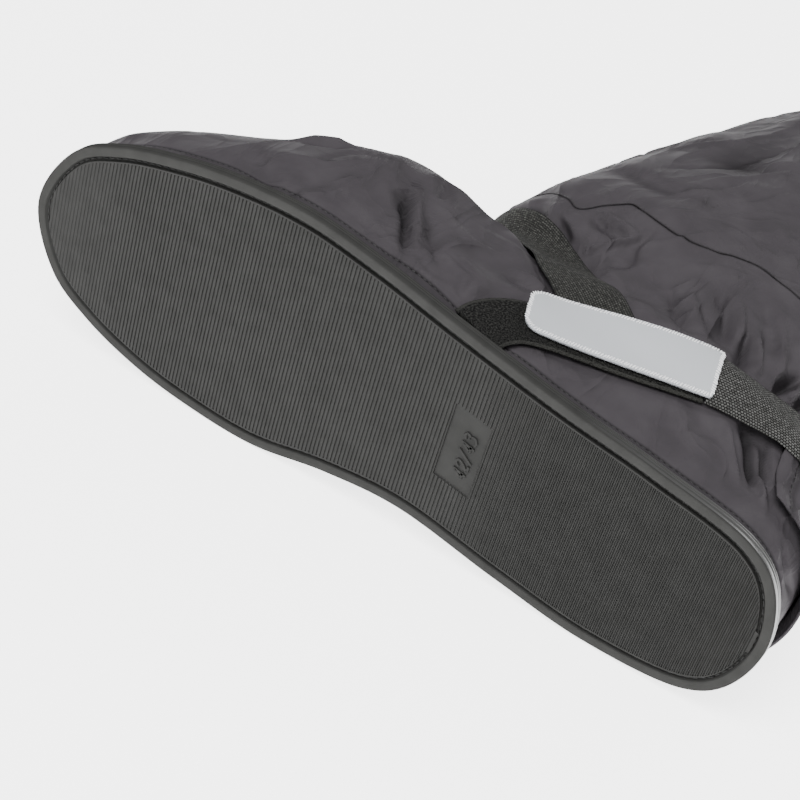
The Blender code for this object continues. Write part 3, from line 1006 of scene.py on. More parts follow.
@dataclass
class Outsole:
    """Flat rubber sole: smooth rim, stitch groove, ribbed tread and a bare plate."""

    form: Form
    columns: int = 640
    groove_inset: float = 4.6
    tread_inset: float = 5.45
    tread_clear: float = 0.15
    tread_columns: int = 17
    tread_back: float = 1.8
    rib_pitch: float = 1.54
    rib_top: float = 0.05
    rib_valley: float = 0.55
    fore_share: float = 0.75
    heel_ribs_from: float = 25.0
    heel_ribs_fade: float = 35.0
    toe_share: float = 0.45
    toe_ribs_from: float = 8.0
    toe_ribs_fade: float = 34.0
    # Corners of one rib: place in its pitch, share of the main groove, share of the heel's second groove.
    rib_corners: tuple[tuple[float, float, float], ...] = (
        (0.00, 0.0, 0.0),
        (0.20, 0.0, 0.0),
        (0.28, 0.0, 0.8),
        (0.36, 0.0, 0.8),
        (0.44, 0.0, 0.0),
        (0.60, 0.0, 0.0),
        (0.70, 1.0, 0.0),
        (0.90, 1.0, 0.0),
    )
    border: float = 0.6
    border_step: float = 0.15
    border_most: float = 0.3
    plate_centre: tuple[float, float] = (27.8, -5.0)
    plate_width: float = 15.0
    plate_length: float = 32.0
    plate_depth: float = 0.6
    plate_wall: float = 0.25
    figures_off_centre: tuple[float, float] = (1.6, -1.0)
    hair: float = 1e-9
    stitch_height: float = 1.35
    stitches: StitchRow = StitchRow(pitch=3.1, length=2.2, width=0.6, height=0.5)
    # The rim's profile, from its upper face round the side to the groove: inset from the edge, height.
    profile: tuple[tuple[float, float], ...] = (
        (1.4, 5.0),
        (0.45, 4.95),
        (0.12, 4.8),
        (0.0, 4.5),
        (0.0, 3.95),
        (0.16, 3.8),
        (0.0, 3.65),
        (0.0, 2.75),
        (0.16, 2.6),
        (0.0, 2.45),
        (0.0, 0.7),
        (0.1, 0.32),
        (0.3, 0.1),
        (0.7, 0.0),
        (2.0, 0.0),
        (3.1, 0.02),
        (3.5, 0.12),
        (3.75, 0.35),
        (3.85, 1.6),
        (5.3, 1.7),
        (5.9, 1.75),
    )
    # Rows of the profile between which the faces have the side's finish.
    side_rows: tuple[int, int] = (2, 10)

    def build(self, finishes: Finishes) -> None:
        """Make rim, tread, stitches and the plate's figures.

        Args:
            finishes: The shoe's finishes.
        """
        edge = self.form.edge(self.columns)
        rings = []
        for inset, height in self.profile:
            ring = self.form.to_shoe(self.form.inset(edge, inset))
            rings.append(np.stack([ring[:, 0], np.full(self.columns, height), ring[:, 1]], axis=1))
        faces = tube_faces(len(rings), self.columns)
        body = add_piece("sole_rim", self.form.to_row(np.array(rings)), faces, finishes.rim)
        body.data.materials.append(finishes.side)
        row = np.arange(len(faces)) // self.columns
        on_side = (row >= self.side_rows[0]) & (row < self.side_rows[1])
        body.data.polygons.foreach_set("material_index", on_side.astype(np.int32))
        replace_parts(body, "outsole")
        self.build_tread(edge, finishes.tread)
        self.build_stitches(edge, finishes.sole_thread)
        centre = [middle + off for middle, off in zip(self.plate_centre, self.figures_off_centre)]
        SizeMark(self.form, tuple(centre)).build(finishes.tread)

    def ribs(self, toe: float, heel: float) -> tuple[np.ndarray, np.ndarray]:
        """Corners of the ribs along the foot.

        The ribs have an even pitch that starts from the plate's rear end. The main groove gets deeper to the
        heel, where a second one parts each rib, and both are shallow at the toe.

        Args:
            toe: Where the tread starts.
            heel: Where it ends.

        Returns:
            Places along the foot, and the share of the full depth at each.
        """
        count = int((heel - toe) / self.rib_pitch)
        start = self.plate_centre[0] + self.plate_width / 2.0
        first = start - math.floor((start - toe) / self.rib_pitch) * self.rib_pitch
        corners = np.array(self.rib_corners)
        along = (first + np.arange(count)[:, None] * self.rib_pitch + corners[:, 0] * self.rib_pitch).ravel()
        heel_share = np.clip((along - self.heel_ribs_from) / self.heel_ribs_fade, 0.0, 1.0)
        main, second = np.tile(corners[:, 1], count), np.tile(corners[:, 2], count)
        deep = main * (self.fore_share + (1.0 - self.fore_share) * heel_share) + second * heel_share
        past_toe = np.clip((along - toe - self.toe_ribs_from) / self.toe_ribs_fade, 0.0, 1.0)
        deep = deep * (self.toe_share + (1.0 - self.toe_share) * past_toe)
        keep = (along > toe) & (along < heel)
        return along[keep], deep[keep]

    def build_tread(self, edge: np.ndarray, material: bpy.types.Material) -> None:
        """Ribs across the foot that end at a flat border, with the plate sunk into them.

        Args:
            edge: The sole's edge in the foot's axes.
            material: The tread's finish.
        """
        ring = self.form.inset(edge, self.tread_inset)
        ring = np.roll(ring, -int(np.argmin(ring[:, 0])), axis=0)
        along, deep = self.ribs(ring[:, 0].min() + self.tread_clear, ring[:, 0].max() - self.tread_clear)
        split = int(np.argmax(ring[:, 0]))
        low = np.interp(along, ring[: split + 1, 0], ring[: split + 1, 1])
        high = np.interp(along, ring[split:, 0][::-1], ring[split:, 1][::-1])
        step = np.minimum(self.border + self.border_step, self.border_most * (high - low))
        plate_low = self.plate_centre[1] - self.plate_length / 2.0
        plate_high = self.plate_centre[1] + self.plate_length / 2.0
        marks = np.array([plate_low, plate_low + self.plate_wall, plate_high - self.plate_wall, plate_high])
        at = int(np.argmin(np.abs(along - self.plate_centre[0])))
        shares = (marks - low[at] - step[at]) / (high[at] - low[at] - 2.0 * step[at])
        share = np.unique(np.concatenate([np.linspace(0.0, 1.0, self.tread_columns), shares]))
        aside = (low + step)[:, None] + share * (high - low - 2.0 * step)[:, None]
        on_plate = np.abs(along[:, None] - self.plate_centre[0]) < self.plate_width / 2.0
        on_plate = on_plate & (share >= shares[1] - self.hair) & (share <= shares[2] + self.hair)
        height = self.rib_top + deep[:, None] * (self.rib_valley - self.rib_top)
        height = np.where(on_plate, self.plate_depth, height)
        rim = step * self.border / (self.border + self.border_step)
        aside = np.column_stack([low, low + rim, aside, high - rim, high])
        height = np.pad(height, ((0, 0), (2, 2)), constant_values=self.rib_top)
        flat = self.form.to_shoe(np.stack([np.broadcast_to(along[:, None], aside.shape), aside], axis=-1))
        points = self.form.to_row(np.stack([flat[..., 0], height, flat[..., 1]], axis=-1))
        faces = grid_quads(len(along), aside.shape[1], False)[:, ::-1]
        piece = add_piece("sole_tread", points, faces.tolist(), material, False)
        add_wall(piece, self.tread_back - self.rib_valley)

    def build_stitches(self, edge: np.ndarray, material: bpy.types.Material) -> None:
        """Thread in the groove all round.

        Args:
            edge: The sole's edge in the foot's axes.
            material: The thread's finish.
        """
        line = self.form.to_shoe(self.form.inset(edge, self.groove_inset))
        path = np.stack([line[:, 0], np.full(len(line), self.stitch_height), line[:, 1]], axis=1)
        path = np.vstack([path, path[:1]])
        down = np.broadcast_to(np.array([0.0, -1.0, 0.0]), path.shape)
        points, faces = self.stitches.points(path, down)
        add_piece("sole_stitching", self.form.to_row(points), faces, material)


@dataclass
class SizeMark:
    """Raised size figures on the sole's plate: strokes of even width that lean a little."""

    form: Form
    centre: tuple[float, float]
    text: str = "42/43"
    figure_height: float = 5.0
    figure_width: float = 3.1
    advance: float = 4.0
    lean: float = 0.25
    stroke: float = 1.2
    segment_steps: int = 6
    # Section of a stroke: share of its width, and height above ground.
    ring: tuple[tuple[float, float], ...] = ((-0.5, 0.7), (-0.36, 0.1), (0.36, 0.1), (0.5, 0.7))
    figures: dict = field(
        default_factory=lambda: {
            "2": (
                (0.06, 0.74),
                (0.2, 0.94),
                (0.5, 1.0),
                (0.82, 0.9),
                (0.9, 0.68),
                (0.7, 0.42),
                (0.04, 0.0),
                (0.96, 0.0),
            ),
            "3": (
                (0.06, 0.86),
                (0.45, 1.0),
                (0.86, 0.86),
                (0.8, 0.62),
                (0.42, 0.53),
                (0.86, 0.42),
                (0.92, 0.16),
                (0.5, 0.0),
                (0.05, 0.12),
            ),
            "4": ((0.76, 0.0), (0.76, 1.0), (0.04, 0.3), (1.0, 0.3)),
            "/": ((0.1, -0.1), (0.9, 1.1)),
        }
    )

    def build(self, material: bpy.types.Material) -> None:
        """Carry a flat topped ridge along each figure's strokes, which read towards the outer side.

        Args:
            material: The rubber's finish.
        """
        points, faces, used = [], [], 0
        ring = np.array(self.ring)
        start = self.centre[1] - self.advance * len(self.text) / 2.0
        for index, letter in enumerate(self.text):
            knots = np.array(self.figures[letter])
            steps = (len(knots) - 1) * self.segment_steps + 1
            at = np.linspace(0.0, len(knots) - 1.0, steps)
            across, rise = (np.interp(at, np.arange(len(knots)), knots[:, k]) for k in range(2))
            high = (rise - 0.5) * self.figure_height
            aside = start + self.advance * index + across * self.figure_width + self.lean * high
            path = np.stack([self.centre[0] - high, aside], axis=1)
            heading = np.gradient(path, axis=0)
            heading /= np.linalg.norm(heading, axis=1, keepdims=True)
            square = np.stack([-heading[:, 1], heading[:, 0]], axis=1)
            flat = self.form.to_shoe(path[:, None] + square[:, None] * (ring[:, :1] * self.stroke))
            level = np.broadcast_to(ring[:, 1], flat.shape[:2])
            points.append(np.stack([flat[..., 0], level, flat[..., 1]], axis=-1).reshape(-1, 3))
            bodies = tube_faces(steps, len(ring), turned=True)
            faces += [[corner + used for corner in face] for face in bodies]
            used += steps * len(ring)
        corners = self.form.to_row(np.vstack(points))
        add_piece("plate_size_figures", corners, faces, material, False)


class RoutePoint(NamedTuple):
    """A point of a strap's route: degrees round the shoe from the toe by the outer side, and its height."""

    around: float
    height: float


@dataclass
class Band:
    """A flat strap that follows a route on the cloth, spread to both sides along its face."""

    form: Form
    route: tuple[RoutePoint, ...]
    width: float
    thickness: float
    steps: int = 220
    slant: float = 0.0
    sides: int = 6
    samples: int = 400
    end_round: float = 0.0
    start_round: float = 0.0
    edge_power: int = 8

    def run(self) -> tuple[np.ndarray, np.ndarray, np.ndarray]:
        """Follow the route at close steps, by a smooth curve through its points.

        Returns:
            Distance along the route, with angle and level there.
        """
        angles = np.radians([row.around for row in self.route])
        heights = np.array([row.height for row in self.route])
        knots = np.stack([angles, self.form.level_at(angles, heights)], axis=1)
        at = np.linspace(0.0, len(self.route) - 1.0, self.samples)
        around, level = hermite(at, np.arange(len(self.route)), knots).T
        return run_length(self.form.skin(around, level)), around, level

    def half_width(self, run: np.ndarray) -> np.ndarray:
        """Half the width along the route, drawn in on an arc at a round end.

        Args:
            run: Distances along the route.

        Returns:
            Half the width at each of them.
        """
        half = np.full(run.shape, self.width / 2.0)
        for radius, away in ((self.start_round, run), (self.end_round, run[-1] - run)):
            if radius > 0.0:
                before = np.clip(radius - away, 0.0, radius)
                half -= radius - np.sqrt(radius**2 - before**2)
        return half

    def step_aside(
        self, around: np.ndarray, level: np.ndarray, heading: np.ndarray, distance: np.ndarray
    ) -> tuple[np.ndarray, np.ndarray]:
        """Move along the cloth's face, square to a heading.

        The step is written as a sum of the face's two slopes, by two linear equations.

        Args:
            around: Angles of the points.
            level: Their levels.
            heading: The way along the strap at each.
            distance: How far each moves.

        Returns:
            The new angles and levels.
        """
        by_around, by_level, normal = self.form.frame_at(around, level)
        across = np.cross(heading, normal)
        across *= (distance / np.linalg.norm(across, axis=-1))[..., None]
        a, b, d, p, q = (
            np.sum(first * second, axis=-1)
            for first, second in (
                (by_around, by_around),
                (by_around, by_level),
                (by_level, by_level),
                (by_around, across),
                (by_level, across),
            )
        )
        whole = a * d - b * b
        moved = np.clip(level + (a * q - b * p) / whole, 0.0, self.form.top_level)
        return around + (p * d - q * b) / whole, moved

    def spread(self) -> tuple[np.ndarray, np.ndarray, np.ndarray, np.ndarray]:
        """Spread the band from its middle to both edges, with a slanted start where one is set.

        Returns:
            Angle, level, distance along and distance aside, on a grid of steps and sides.
        """
        run, middle_around, middle_level = self.run()
        half = self.half_width(run)
        heading = np.gradient(self.form.skin(middle_around, middle_level), axis=0)
        columns = {0: (middle_around, middle_level)}
        for sign in (-1, 1):
            around, level = middle_around, middle_level
            for column in range(1, self.sides + 1):
                around, level = self.step_aside(around, level, heading, sign * half / self.sides)
                columns[sign * column] = (around, level)
        even = np.linspace(0.0, run[-1], self.steps + 1)
        found = []
        for column in sorted(columns):
            side = column / self.sides
            lead = abs(self.slant) * (1.0 + math.copysign(side, self.slant * side)) / 2.0
            along = even + lead * (1.0 - even / run[-1])
            around, level = columns[column]
            aside = side * np.interp(along, run, half)
            found.append([np.interp(along, run, around), np.interp(along, run, level), along, aside])
        return tuple(np.stack(part, axis=1) for part in zip(*found))

    def middle(self) -> np.ndarray:
        """Points of the cloth along the band's middle."""
        _, around, level = self.run()
        return self.form.skin(around, level)

    def build(
        self, name: str, lift: np.ndarray, material: bpy.types.Material, slot: Slot, rounding: float = 0.35
    ) -> bpy.types.Object:
        """A closed strap: flat underside and top with round edges and closed ends.

        Args:
            name: The piece's name.
            lift: How far the underside stands off the cloth at each step.
            material: Its finish.
            slot: The record's slot. It is not used.
            rounding: Share of the thickness that the edges are drawn in.

        Returns:
            The new object.
        """
        around, level, along, aside = self.spread()
        columns = around.shape[1]
        order = np.concatenate([np.arange(columns), np.arange(columns)[::-1]])
        under = rounding * np.abs(np.linspace(-1.0, 1.0, columns)) ** self.edge_power * self.thickness
        rise = np.concatenate([under, (self.thickness - under)[::-1]])
        points = self.form.lifted(around[:, order], level[:, order], lift[:, None] + rise)
        faces = tube_faces(*points.shape[:2], turned=True)
        piece = add_piece(name, self.form.to_row(points), faces, material)
        set_uv(piece, np.stack([along[:, order], aside[:, order]], axis=-1))
        return piece


@dataclass
class Straps:
    """Instep strap, loop strip, heel strap and the reflective tab over their ends."""

    form: Form
    strap_width: float = 25.0
    strap_thickness: float = 1.5
    instep_slant: float = -9.0
    instep_lift: float = 1.0
    heel_lift: float = 1.0
    loop_width: float = 21.0
    loop_steps: int = 110
    loop_lift: float = 0.6
    tab_width: float = 22.0
    tab_thickness: float = 1.4
    tab_steps: int = 120
    tab_start_round: float = 6.0
    tab_end_round: float = 1.5
    tab_rounding: float = 0.12
    tab_lift: float = 2.8
    over_flap: float = 2.4
    flap_crossing: tuple[float, float] = (131.0, 224.0)
    crossing_ramp: float = 7.0
    border: float = 0.55
    border_turn: float = math.radians(62.0)
    stitches: StitchRow = StitchRow(pitch=1.05, length=1.7, width=0.65, height=0.5, jitter=0.15, seed=11)
    instep_route: tuple[RoutePoint, ...] = (
        RoutePoint(104.9, 45.0),
        RoutePoint(97.0, 54.5),
        RoutePoint(86.0, 66.0),
        RoutePoint(69.5, 80.0),
        RoutePoint(47.0, 95.0),
        RoutePoint(25.0, 105.5),
        RoutePoint(0.0, 110.0),
        RoutePoint(-30.0, 105.0),
        RoutePoint(-55.0, 84.0),
        RoutePoint(-74.0, 48.0),
        RoutePoint(-83.0, 12.0),
    )
    heel_route: tuple[RoutePoint, ...] = (
        RoutePoint(122.2, 52.4),
        RoutePoint(127.7, 55.5),
        RoutePoint(134.2, 57.7),
        RoutePoint(146.0, 59.0),
        RoutePoint(163.0, 60.5),
        RoutePoint(180.0, 61.0),
        RoutePoint(200.0, 60.0),
        RoutePoint(222.0, 54.0),
        RoutePoint(240.0, 38.0),
        RoutePoint(249.0, 12.0),
    )
    loop_route: tuple[RoutePoint, ...] = (
        RoutePoint(99.6, 5.6),
        RoutePoint(100.1, 13.0),
        RoutePoint(101.9, 23.0),
        RoutePoint(106.6, 33.0),
        RoutePoint(112.5, 40.0),
        RoutePoint(122.3, 49.8),
    )
    tab_route: tuple[RoutePoint, ...] = (
        RoutePoint(100.2, 28.8),
        RoutePoint(106.1, 37.0),
        RoutePoint(112.7, 44.0),
        RoutePoint(122.6, 52.6),
    )
    instep: Band = field(init=False)
    heel: Band = field(init=False)
    loop: Band = field(init=False)
    tab: Band = field(init=False)

    def __post_init__(self) -> None:
        """Lay out the four bands."""
        strap = (self.strap_width, self.strap_thickness)
        self.instep = Band(self.form, self.instep_route, *strap, slant=self.instep_slant)
        self.heel = Band(self.form, self.heel_route, *strap)
        self.loop = Band(
            self.form, self.loop_route, self.loop_width, self.strap_thickness, steps=self.loop_steps
        )
        self.tab = Band(
            self.form,
            self.tab_route,
            self.tab_width,
            self.tab_thickness,
            steps=self.tab_steps,
            start_round=self.tab_start_round,
            end_round=self.tab_end_round,
        )

    def heel_lifts(self) -> np.ndarray:
        """Lift of the heel strap along its length: it climbs over the storm flap and comes down again.

        Returns:
            The lift at each step.
        """
        run, around, _ = self.heel.run()
        even = np.linspace(0.0, run[-1], self.heel.steps + 1)
        degrees = np.degrees(np.interp(even, run, around))
        climb, descend = self.flap_crossing
        ease = np.clip((degrees - climb) / self.crossing_ramp, 0.0, 1.0)
        ease = ease * np.clip((descend - degrees) / self.crossing_ramp, 0.0, 1.0)
        return self.heel_lift + ease * (self.over_flap - self.heel_lift)

    def build(self, finishes: Finishes) -> None:
        """Make the straps, the tab and its border stitches.

        Args:
            finishes: The shoe's finishes.
        """
        coarse, fine = finishes.webbing, finishes.fine_webbing
        lift = np.full(self.instep.steps + 1, self.instep_lift)
        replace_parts(self.instep.build("instep_strap_woven", lift, fine, Slot.WEBBING), "instep_strap")
        lift = self.heel_lifts()
        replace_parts(self.heel.build("heel_strap_woven", lift, coarse, Slot.WEBBING), "heel_strap")
        lift = np.full(self.loop.steps + 1, self.loop_lift)
        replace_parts(self.loop.build("loop_strip_pile", lift, finishes.pile, Slot.PILE), "loop_strip")
        lift = np.full(self.tab.steps + 1, self.tab_lift)
        tab = self.tab.build("reflective_tab_film", lift, finishes.film, Slot.FILM, self.tab_rounding)
        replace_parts(tab, "reflective_tab")
        self.build_border(finishes.white_thread)

    def build_border(self, material: bpy.types.Material) -> None:
        """White overlock stitches round the tab's edge.

        Args:
            material: The thread's finish.
        """
        ring = []
        for grid in self.tab.spread()[:2]:
            low = self.border * grid[:, 1] + (1.0 - self.border) * grid[:, 0]
            high = self.border * grid[:, -2] + (1.0 - self.border) * grid[:, -1]
            ring.append(np.concatenate([low[1:-1], grid[-2, 1:-1], high[1:-1][::-1], grid[1, 1:-1][::-1]]))
        around, level = ring
        path = self.form.lifted(around, level, np.full(around.shape, self.tab_lift + self.tab_thickness))
        up = self.form.frame_at(around, level)[2]
        points, faces = self.stitches.points(path, up, self.border_turn)
        add_piece("tab_border_stitching", self.form.to_row(points), faces, material)


class SeamRow(NamedTuple):
    """Height of the seam between upper and shaft at an angle round the shoe, in degrees."""

    around: float
    height: float


@dataclass
class Cloth:
    """The nylon of upper and shaft: one face, parted by the ankle seam, with listed creases."""

    form: Form
    straps: Straps
    upper_cut: Cut = Cut(0.72, 0.2, 0.077)
    shaft_cut: Cut = Cut(0.475, 0.275, 0.117)
    wall: float = 1.2
    outer_columns: int = 310
    inner_columns: int = 64
    upper_rows: int = 132
    shaft_rows: int = 126
    margin_rows: int = 22
    margin_level: float = 1.25
    close_rows: float = 1.3
    margin_height: float = 10.0
    margin_dent: float = 0.6
    margin_dent_width: float = 0.55
    # Painted shade in the dent along the sole seam; the cloth below that seam is darker as well.
    margin_painted_shade: float = 0.9
    margin_painted_shade_width: float = 0.45
    margin_shade: float = 0.35
    hem_depth: float = 20.0
    hem_rise: float = 0.7
    hem_soft: float = 0.8
    level_length: float = 72.3
    # Slack: broad swells, then crumples and dents along the lines where a random field is 0, in patches.
    swells: tuple[Swell, ...] = (Swell(0.9, 50.0, 3), Swell(0.5, 23.0, 8))
    crumples: Swell = Swell(1.0, 27.0, 17, (1.0, 0.6, 1.0))
    crumple_height: float = 0.8
    dents: Swell = Swell(1.0, 19.0, 23, (0.7, 1.0, 0.8))
    dent_depth: float = 0.6
    crumple_width: float = 0.10
    patches: Swell = Swell(1.0, 50.0, 29)
    patch_share: float = 0.55
    patch_most: float = 1.2
    hold_height: float = 14.0
    hold_soft: float = 2.5
    # Lengthwise folds of the shaft.
    drapes: tuple[Swell, ...] = (
        Swell(1.0, 30.0, 61, (1.0, 0.16, 1.0)),
        Swell(0.5, 15.0, 67, (1.0, 0.16, 1.0)),
    )
    drape_from: float = 150.0
    drape_length: float = 160.0
    drape_depth: float = 6.5
    # The cloth lies flat on the floor: moves fade in above it, and a share of the inward ones stays.
    floor_from: float = 2.0
    floor_reach: float = 12.0
    floor_share: float = 0.1
    # Under a strap the cloth is pressed flat, and it bulges beside the strap.
    press_past: float = 1.5
    press_soft: float = 0.8
    press_from: float = 0.02
    press_free: float = 2.0
    press_gap: float = 0.1
    press_depth: float = 0.6
    bulge: float = 1.3
    bulge_at: float = 6.5
    bulge_width: float = 4.5
    route_stride: int = 4
    # The ankle seam: the shaft laps over the upper, with painted shade at the lap, and the cloth puckers
    # beside it.
    lap_over: float = 0.15
    lap_under: float = -0.3
    lap_width: float = 0.7
    lap_on_floor: float = 0.2
    seam_painted_shade: float = 0.75
    seam_painted_shade_width: float = 0.45
    pucker: Swell = Swell(0.5, 5.0, 41, (1.0, 0.3, 1.0))
    pucker_reach: float = 7.0
    seam_gap: float = 1e-6
    # Stitches, and how far off the cloth they lie.
    stitch_samples: int = 900
    sole_stitches: StitchRow = StitchRow(pitch=2.4, length=1.6, width=0.45, height=0.5)
    ankle_stitches: StitchRow = StitchRow(pitch=2.4, length=1.5, width=0.3, height=0.3, seed=7)
    hem_stitches: StitchRow = StitchRow(pitch=3.2, length=2.2, width=0.5, height=0.4, seed=13)
    stitch_lift: float = -0.05
    hem_stitch_lift: float = 0.05
    ankle_stitch_above: float = 0.9
    hem_stitch_inset: float = 2.0
    # A crease is steeper on one side and fades to its ends; from a depth on, its trough gets painted shade in
    # the cloth's colour.
    steep_side: float = 0.5
    slow_side: float = 1.15
    crease_samples: int = 25
    fade_gain: float = 1.25
    fade_start: float = 0.06
    fade_length: float = 0.88
    crease_shade_from: float = 1.6
    crease_shade_range: float = 4.0
    crease_shade_most: float = 0.8
    seam_rows: tuple[SeamRow, ...] = (
        SeamRow(0.0, 130.0),
        SeamRow(31.0, 132.0),
        SeamRow(46.0, 123.0),
        SeamRow(51.0, 119.0),
        SeamRow(57.0, 124.0),
        SeamRow(64.0, 128.0),
        SeamRow(73.0, 124.0),
        SeamRow(83.0, 120.0),
        SeamRow(91.0, 123.0),
        SeamRow(99.0, 128.0),
        SeamRow(108.0, 127.0),
        SeamRow(140.0, 125.0),
        SeamRow(180.0, 126.0),
        SeamRow(260.0, 128.0),
        SeamRow(360.0, 130.0),
    )
    creases: tuple[Crease, ...] = (
        Crease(-5.4, 3.0, ((-20, 16), (-26, 26), (-32, 35), (-39, 49))),
        Crease(-2.4, 4.6, ((-31, 31), (-36, 37), (-42, 46))),
        Crease(4.4, 2.6, ((-36, 51), (-29, 38), (-23, 29), (-17, 19))),
        Crease(-2.8, 3.2, ((-9, 21), (-15, 27), (-21, 35), (-28, 44))),
        Crease(1.2, 5.0, ((-33, 66), (-18, 44), (-8, 26))),
        Crease(-2.4, 3.0, ((-35, 72), (-27, 53))),
        Crease(3.2, 15.0, ((-74, 60), (-58, 67), (-49, 72), (-38, 73), (-27, 74), (-10, 75))),
        Crease(-1.8, 14.0, ((-28, 144), (-22, 164), (-17, 184), (-12, 200), (-6, 222))),
        Crease(-1.2, 8.0, ((-152, 10), (-140, 14), (-122, 18))),
        Crease(-1.6, 6.0, ((-90, 27), (-79, 15), (-70, 8))),
        Crease(-1.2, 4.5, ((-72, 24), (-47, 17), (-24, 13))),
        Crease(1.4, 5.0, ((-20, 16), (-9, 12), (2, 14))),
        Crease(-1.5, 2.2, ((1, 27), (5, 14))),
        Crease(-1.8, 2.0, ((9, 42), (15, 45), (24, 46))),
        Crease(1.2, 2.4, ((7, 47), (16, 50), (22, 50))),
        Crease(-5.0, 4.5, ((-26, 119), (-18, 115), (-11, 111))),
        Crease(3.0, 1.9, ((27, 112), (16, 115), (6, 118))),
        Crease(3.0, 1.9, ((27, 112), (21, 103), (12, 92))),
        Crease(-2.6, 3.0, ((8, 114.5), (16, 111.3), (25, 108.6))),
        Crease(-2.2, 3.6, ((30, 116), (29, 106), (33, 97))),
        Crease(-3.4, 2.6, ((-6, 112), (0, 107), (6, 101))),
        Crease(-1.6, 3.0, ((23, 95), (34, 97))),
        Crease(-2.8, 8.0, ((-8, 164), (11, 153), (30, 152))),
        Crease(-3.0, 3.0, ((50, 94), (60, 81), (70, 66))),
        Crease(2.4, 3.0, ((58, 96), (67, 83), (75, 70))),
        Crease(-3.0, 2.8, ((66, 103), (74, 93), (81, 78))),
        Crease(2.6, 3.0, ((74, 104), (81, 92), (87, 78))),
        Crease(-4.4, 2.4, ((84, 92), (89, 77), (93, 64))),
        Crease(3.2, 2.4, ((88, 95), (94, 80), (97, 68))),
        Crease(-2.4, 4.0, ((80, 112), (90, 101), (98, 88))),
        Crease(2.2, 4.0, ((88, 112), (96, 98), (102, 84))),
        Crease(-5.0, 2.2, ((108, 94), (106, 82), (105, 73))),
        Crease(3.6, 2.0, ((112, 94), (110, 82), (109, 73))),
        Crease(-4.6, 2.0, ((116, 92), (114, 82), (114, 74))),
        Crease(3.0, 1.8, ((120, 92), (118, 82), (118, 74))),
        Crease(-6.4, 4.2, ((120, 27), (112, 38), (104, 47))),
        Crease(2.6, 2.0, ((98, 43), (107, 33), (116, 23))),
        Crease(3.0, 2.0, ((110, 46), (119, 34), (127, 22))),
        Crease(-3.2, 2.2, ((115, 48), (118, 40), (122, 33))),
        Crease(1.2, 4.0, ((66, 29), (76, 36), (87, 39))),
        Crease(-1.4, 4.5, ((89, 38), (98, 34), (102, 38))),
        Crease(-1.6, 2.0, ((136, 20), (143, 16), (146, 24))),
        Crease(2.6, 4.0, ((-90, 51), (-80, 56), (-72, 60))),
        Crease(-2.2, 2.6, ((-86, 49), (-78, 52), (-71, 55))),
        Crease(-1.5, 7.0, ((36, 60), (42, 84), (50, 108))),
        Crease(1.6, 9.0, ((20, 70), (30, 88), (44, 104))),
        Crease(-1.0, 9.0, ((10, 200), (40, 205), (60, 224))),
        Crease(1.0, 10.0, ((20, 180), (60, 186), (92, 204))),
        Crease(-1.2, 8.0, ((52, 150), (78, 155), (104, 170))),
        Crease(0.8, 2.2, ((-7, 194), (12, 221), (28, 262))),
        Crease(-0.9, 2.2, ((8, 169), (23, 193), (39, 238))),
        Crease(0.9, 2.4, ((24, 162), (35, 186), (50, 214))),
        Crease(-0.9, 2.2, ((36, 144), (47, 171), (56, 196))),
        Crease(0.9, 2.0, ((30, 108), (40, 119), (49, 135))),
        Crease(0.9, 2.2, ((50, 108), (63, 116), (78, 121))),
        Crease(0.8, 2.0, ((44, 144), (54, 162), (66, 174))),
        Crease(-0.8, 1.8, ((-60, 27), (-40, 18), (-25, 15))),
        Crease(0.8, 2.4, ((-28, 50), (-11, 46), (-2, 52))),
        Crease(0.8, 2.2, ((-18, 29), (-5, 26), (5, 26))),
        Crease(0.8, 4.0, ((76, 31), (91, 32), (103, 27))),
        Crease(-4.0, 9.0, ((70, 244), (96, 268), (118, 306))),
        Crease(3.5, 10.0, ((40, 254), (70, 284), (100, 334))),
        Crease(-4.2, 9.0, ((30, 296), (52, 320), (70, 360))),
        Crease(2.4, 9.0, ((110, 196), (124, 226), (138, 266))),
        Crease(-3.6, 8.0, ((128, 276), (142, 308), (150, 345))),
    )

    def seam_height(self, around: np.ndarray) -> np.ndarray:
        """Height of the ankle seam at an angle round the shoe."""
        rows = np.array(self.seam_rows)
        return hermite(np.degrees(around) % 360.0, rows[:, 0], rows[:, 1])

    def columns(self) -> np.ndarray:
        """Lay out the grid's columns: close together on the outer side, wider on the inner side.

        Returns:
            Their angles.
        """
        outer = np.linspace(0.0, math.pi, self.outer_columns, endpoint=False)
        inner = np.linspace(math.pi, 2.0 * math.pi, self.inner_columns, endpoint=False)
        return np.concatenate([outer, inner])

    def line_field(
        self, points: np.ndarray, line: np.ndarray
    ) -> tuple[np.ndarray, np.ndarray, np.ndarray]:
        """Where points lie beside a line, by the nearest of its samples.

        Args:
            points: Points with x, y, z last.
            line: Samples along the line.

        Returns:
            Distance from the line, share of its length, and a value above 0 on its left side.
        """
        shape = points.shape[:-1]
        flat = points.reshape(-1, 3)
        heading = np.gradient(line, axis=0)
        near = np.full(len(flat), np.inf)
        part = np.zeros(len(flat))
        side = np.zeros(len(flat))
        for index, sample in enumerate(line):
            away = flat - sample
            distance = np.sum(away**2, axis=1)
            closer = distance < near
            near = np.where(closer, distance, near)
            part = np.where(closer, index / (len(line) - 1.0), part)
            turn = heading[index, 0] * away[:, 1] - heading[index, 1] * away[:, 0]
            side = np.where(closer, turn, side)
        return np.sqrt(near).reshape(shape), part.reshape(shape), side.reshape(shape)

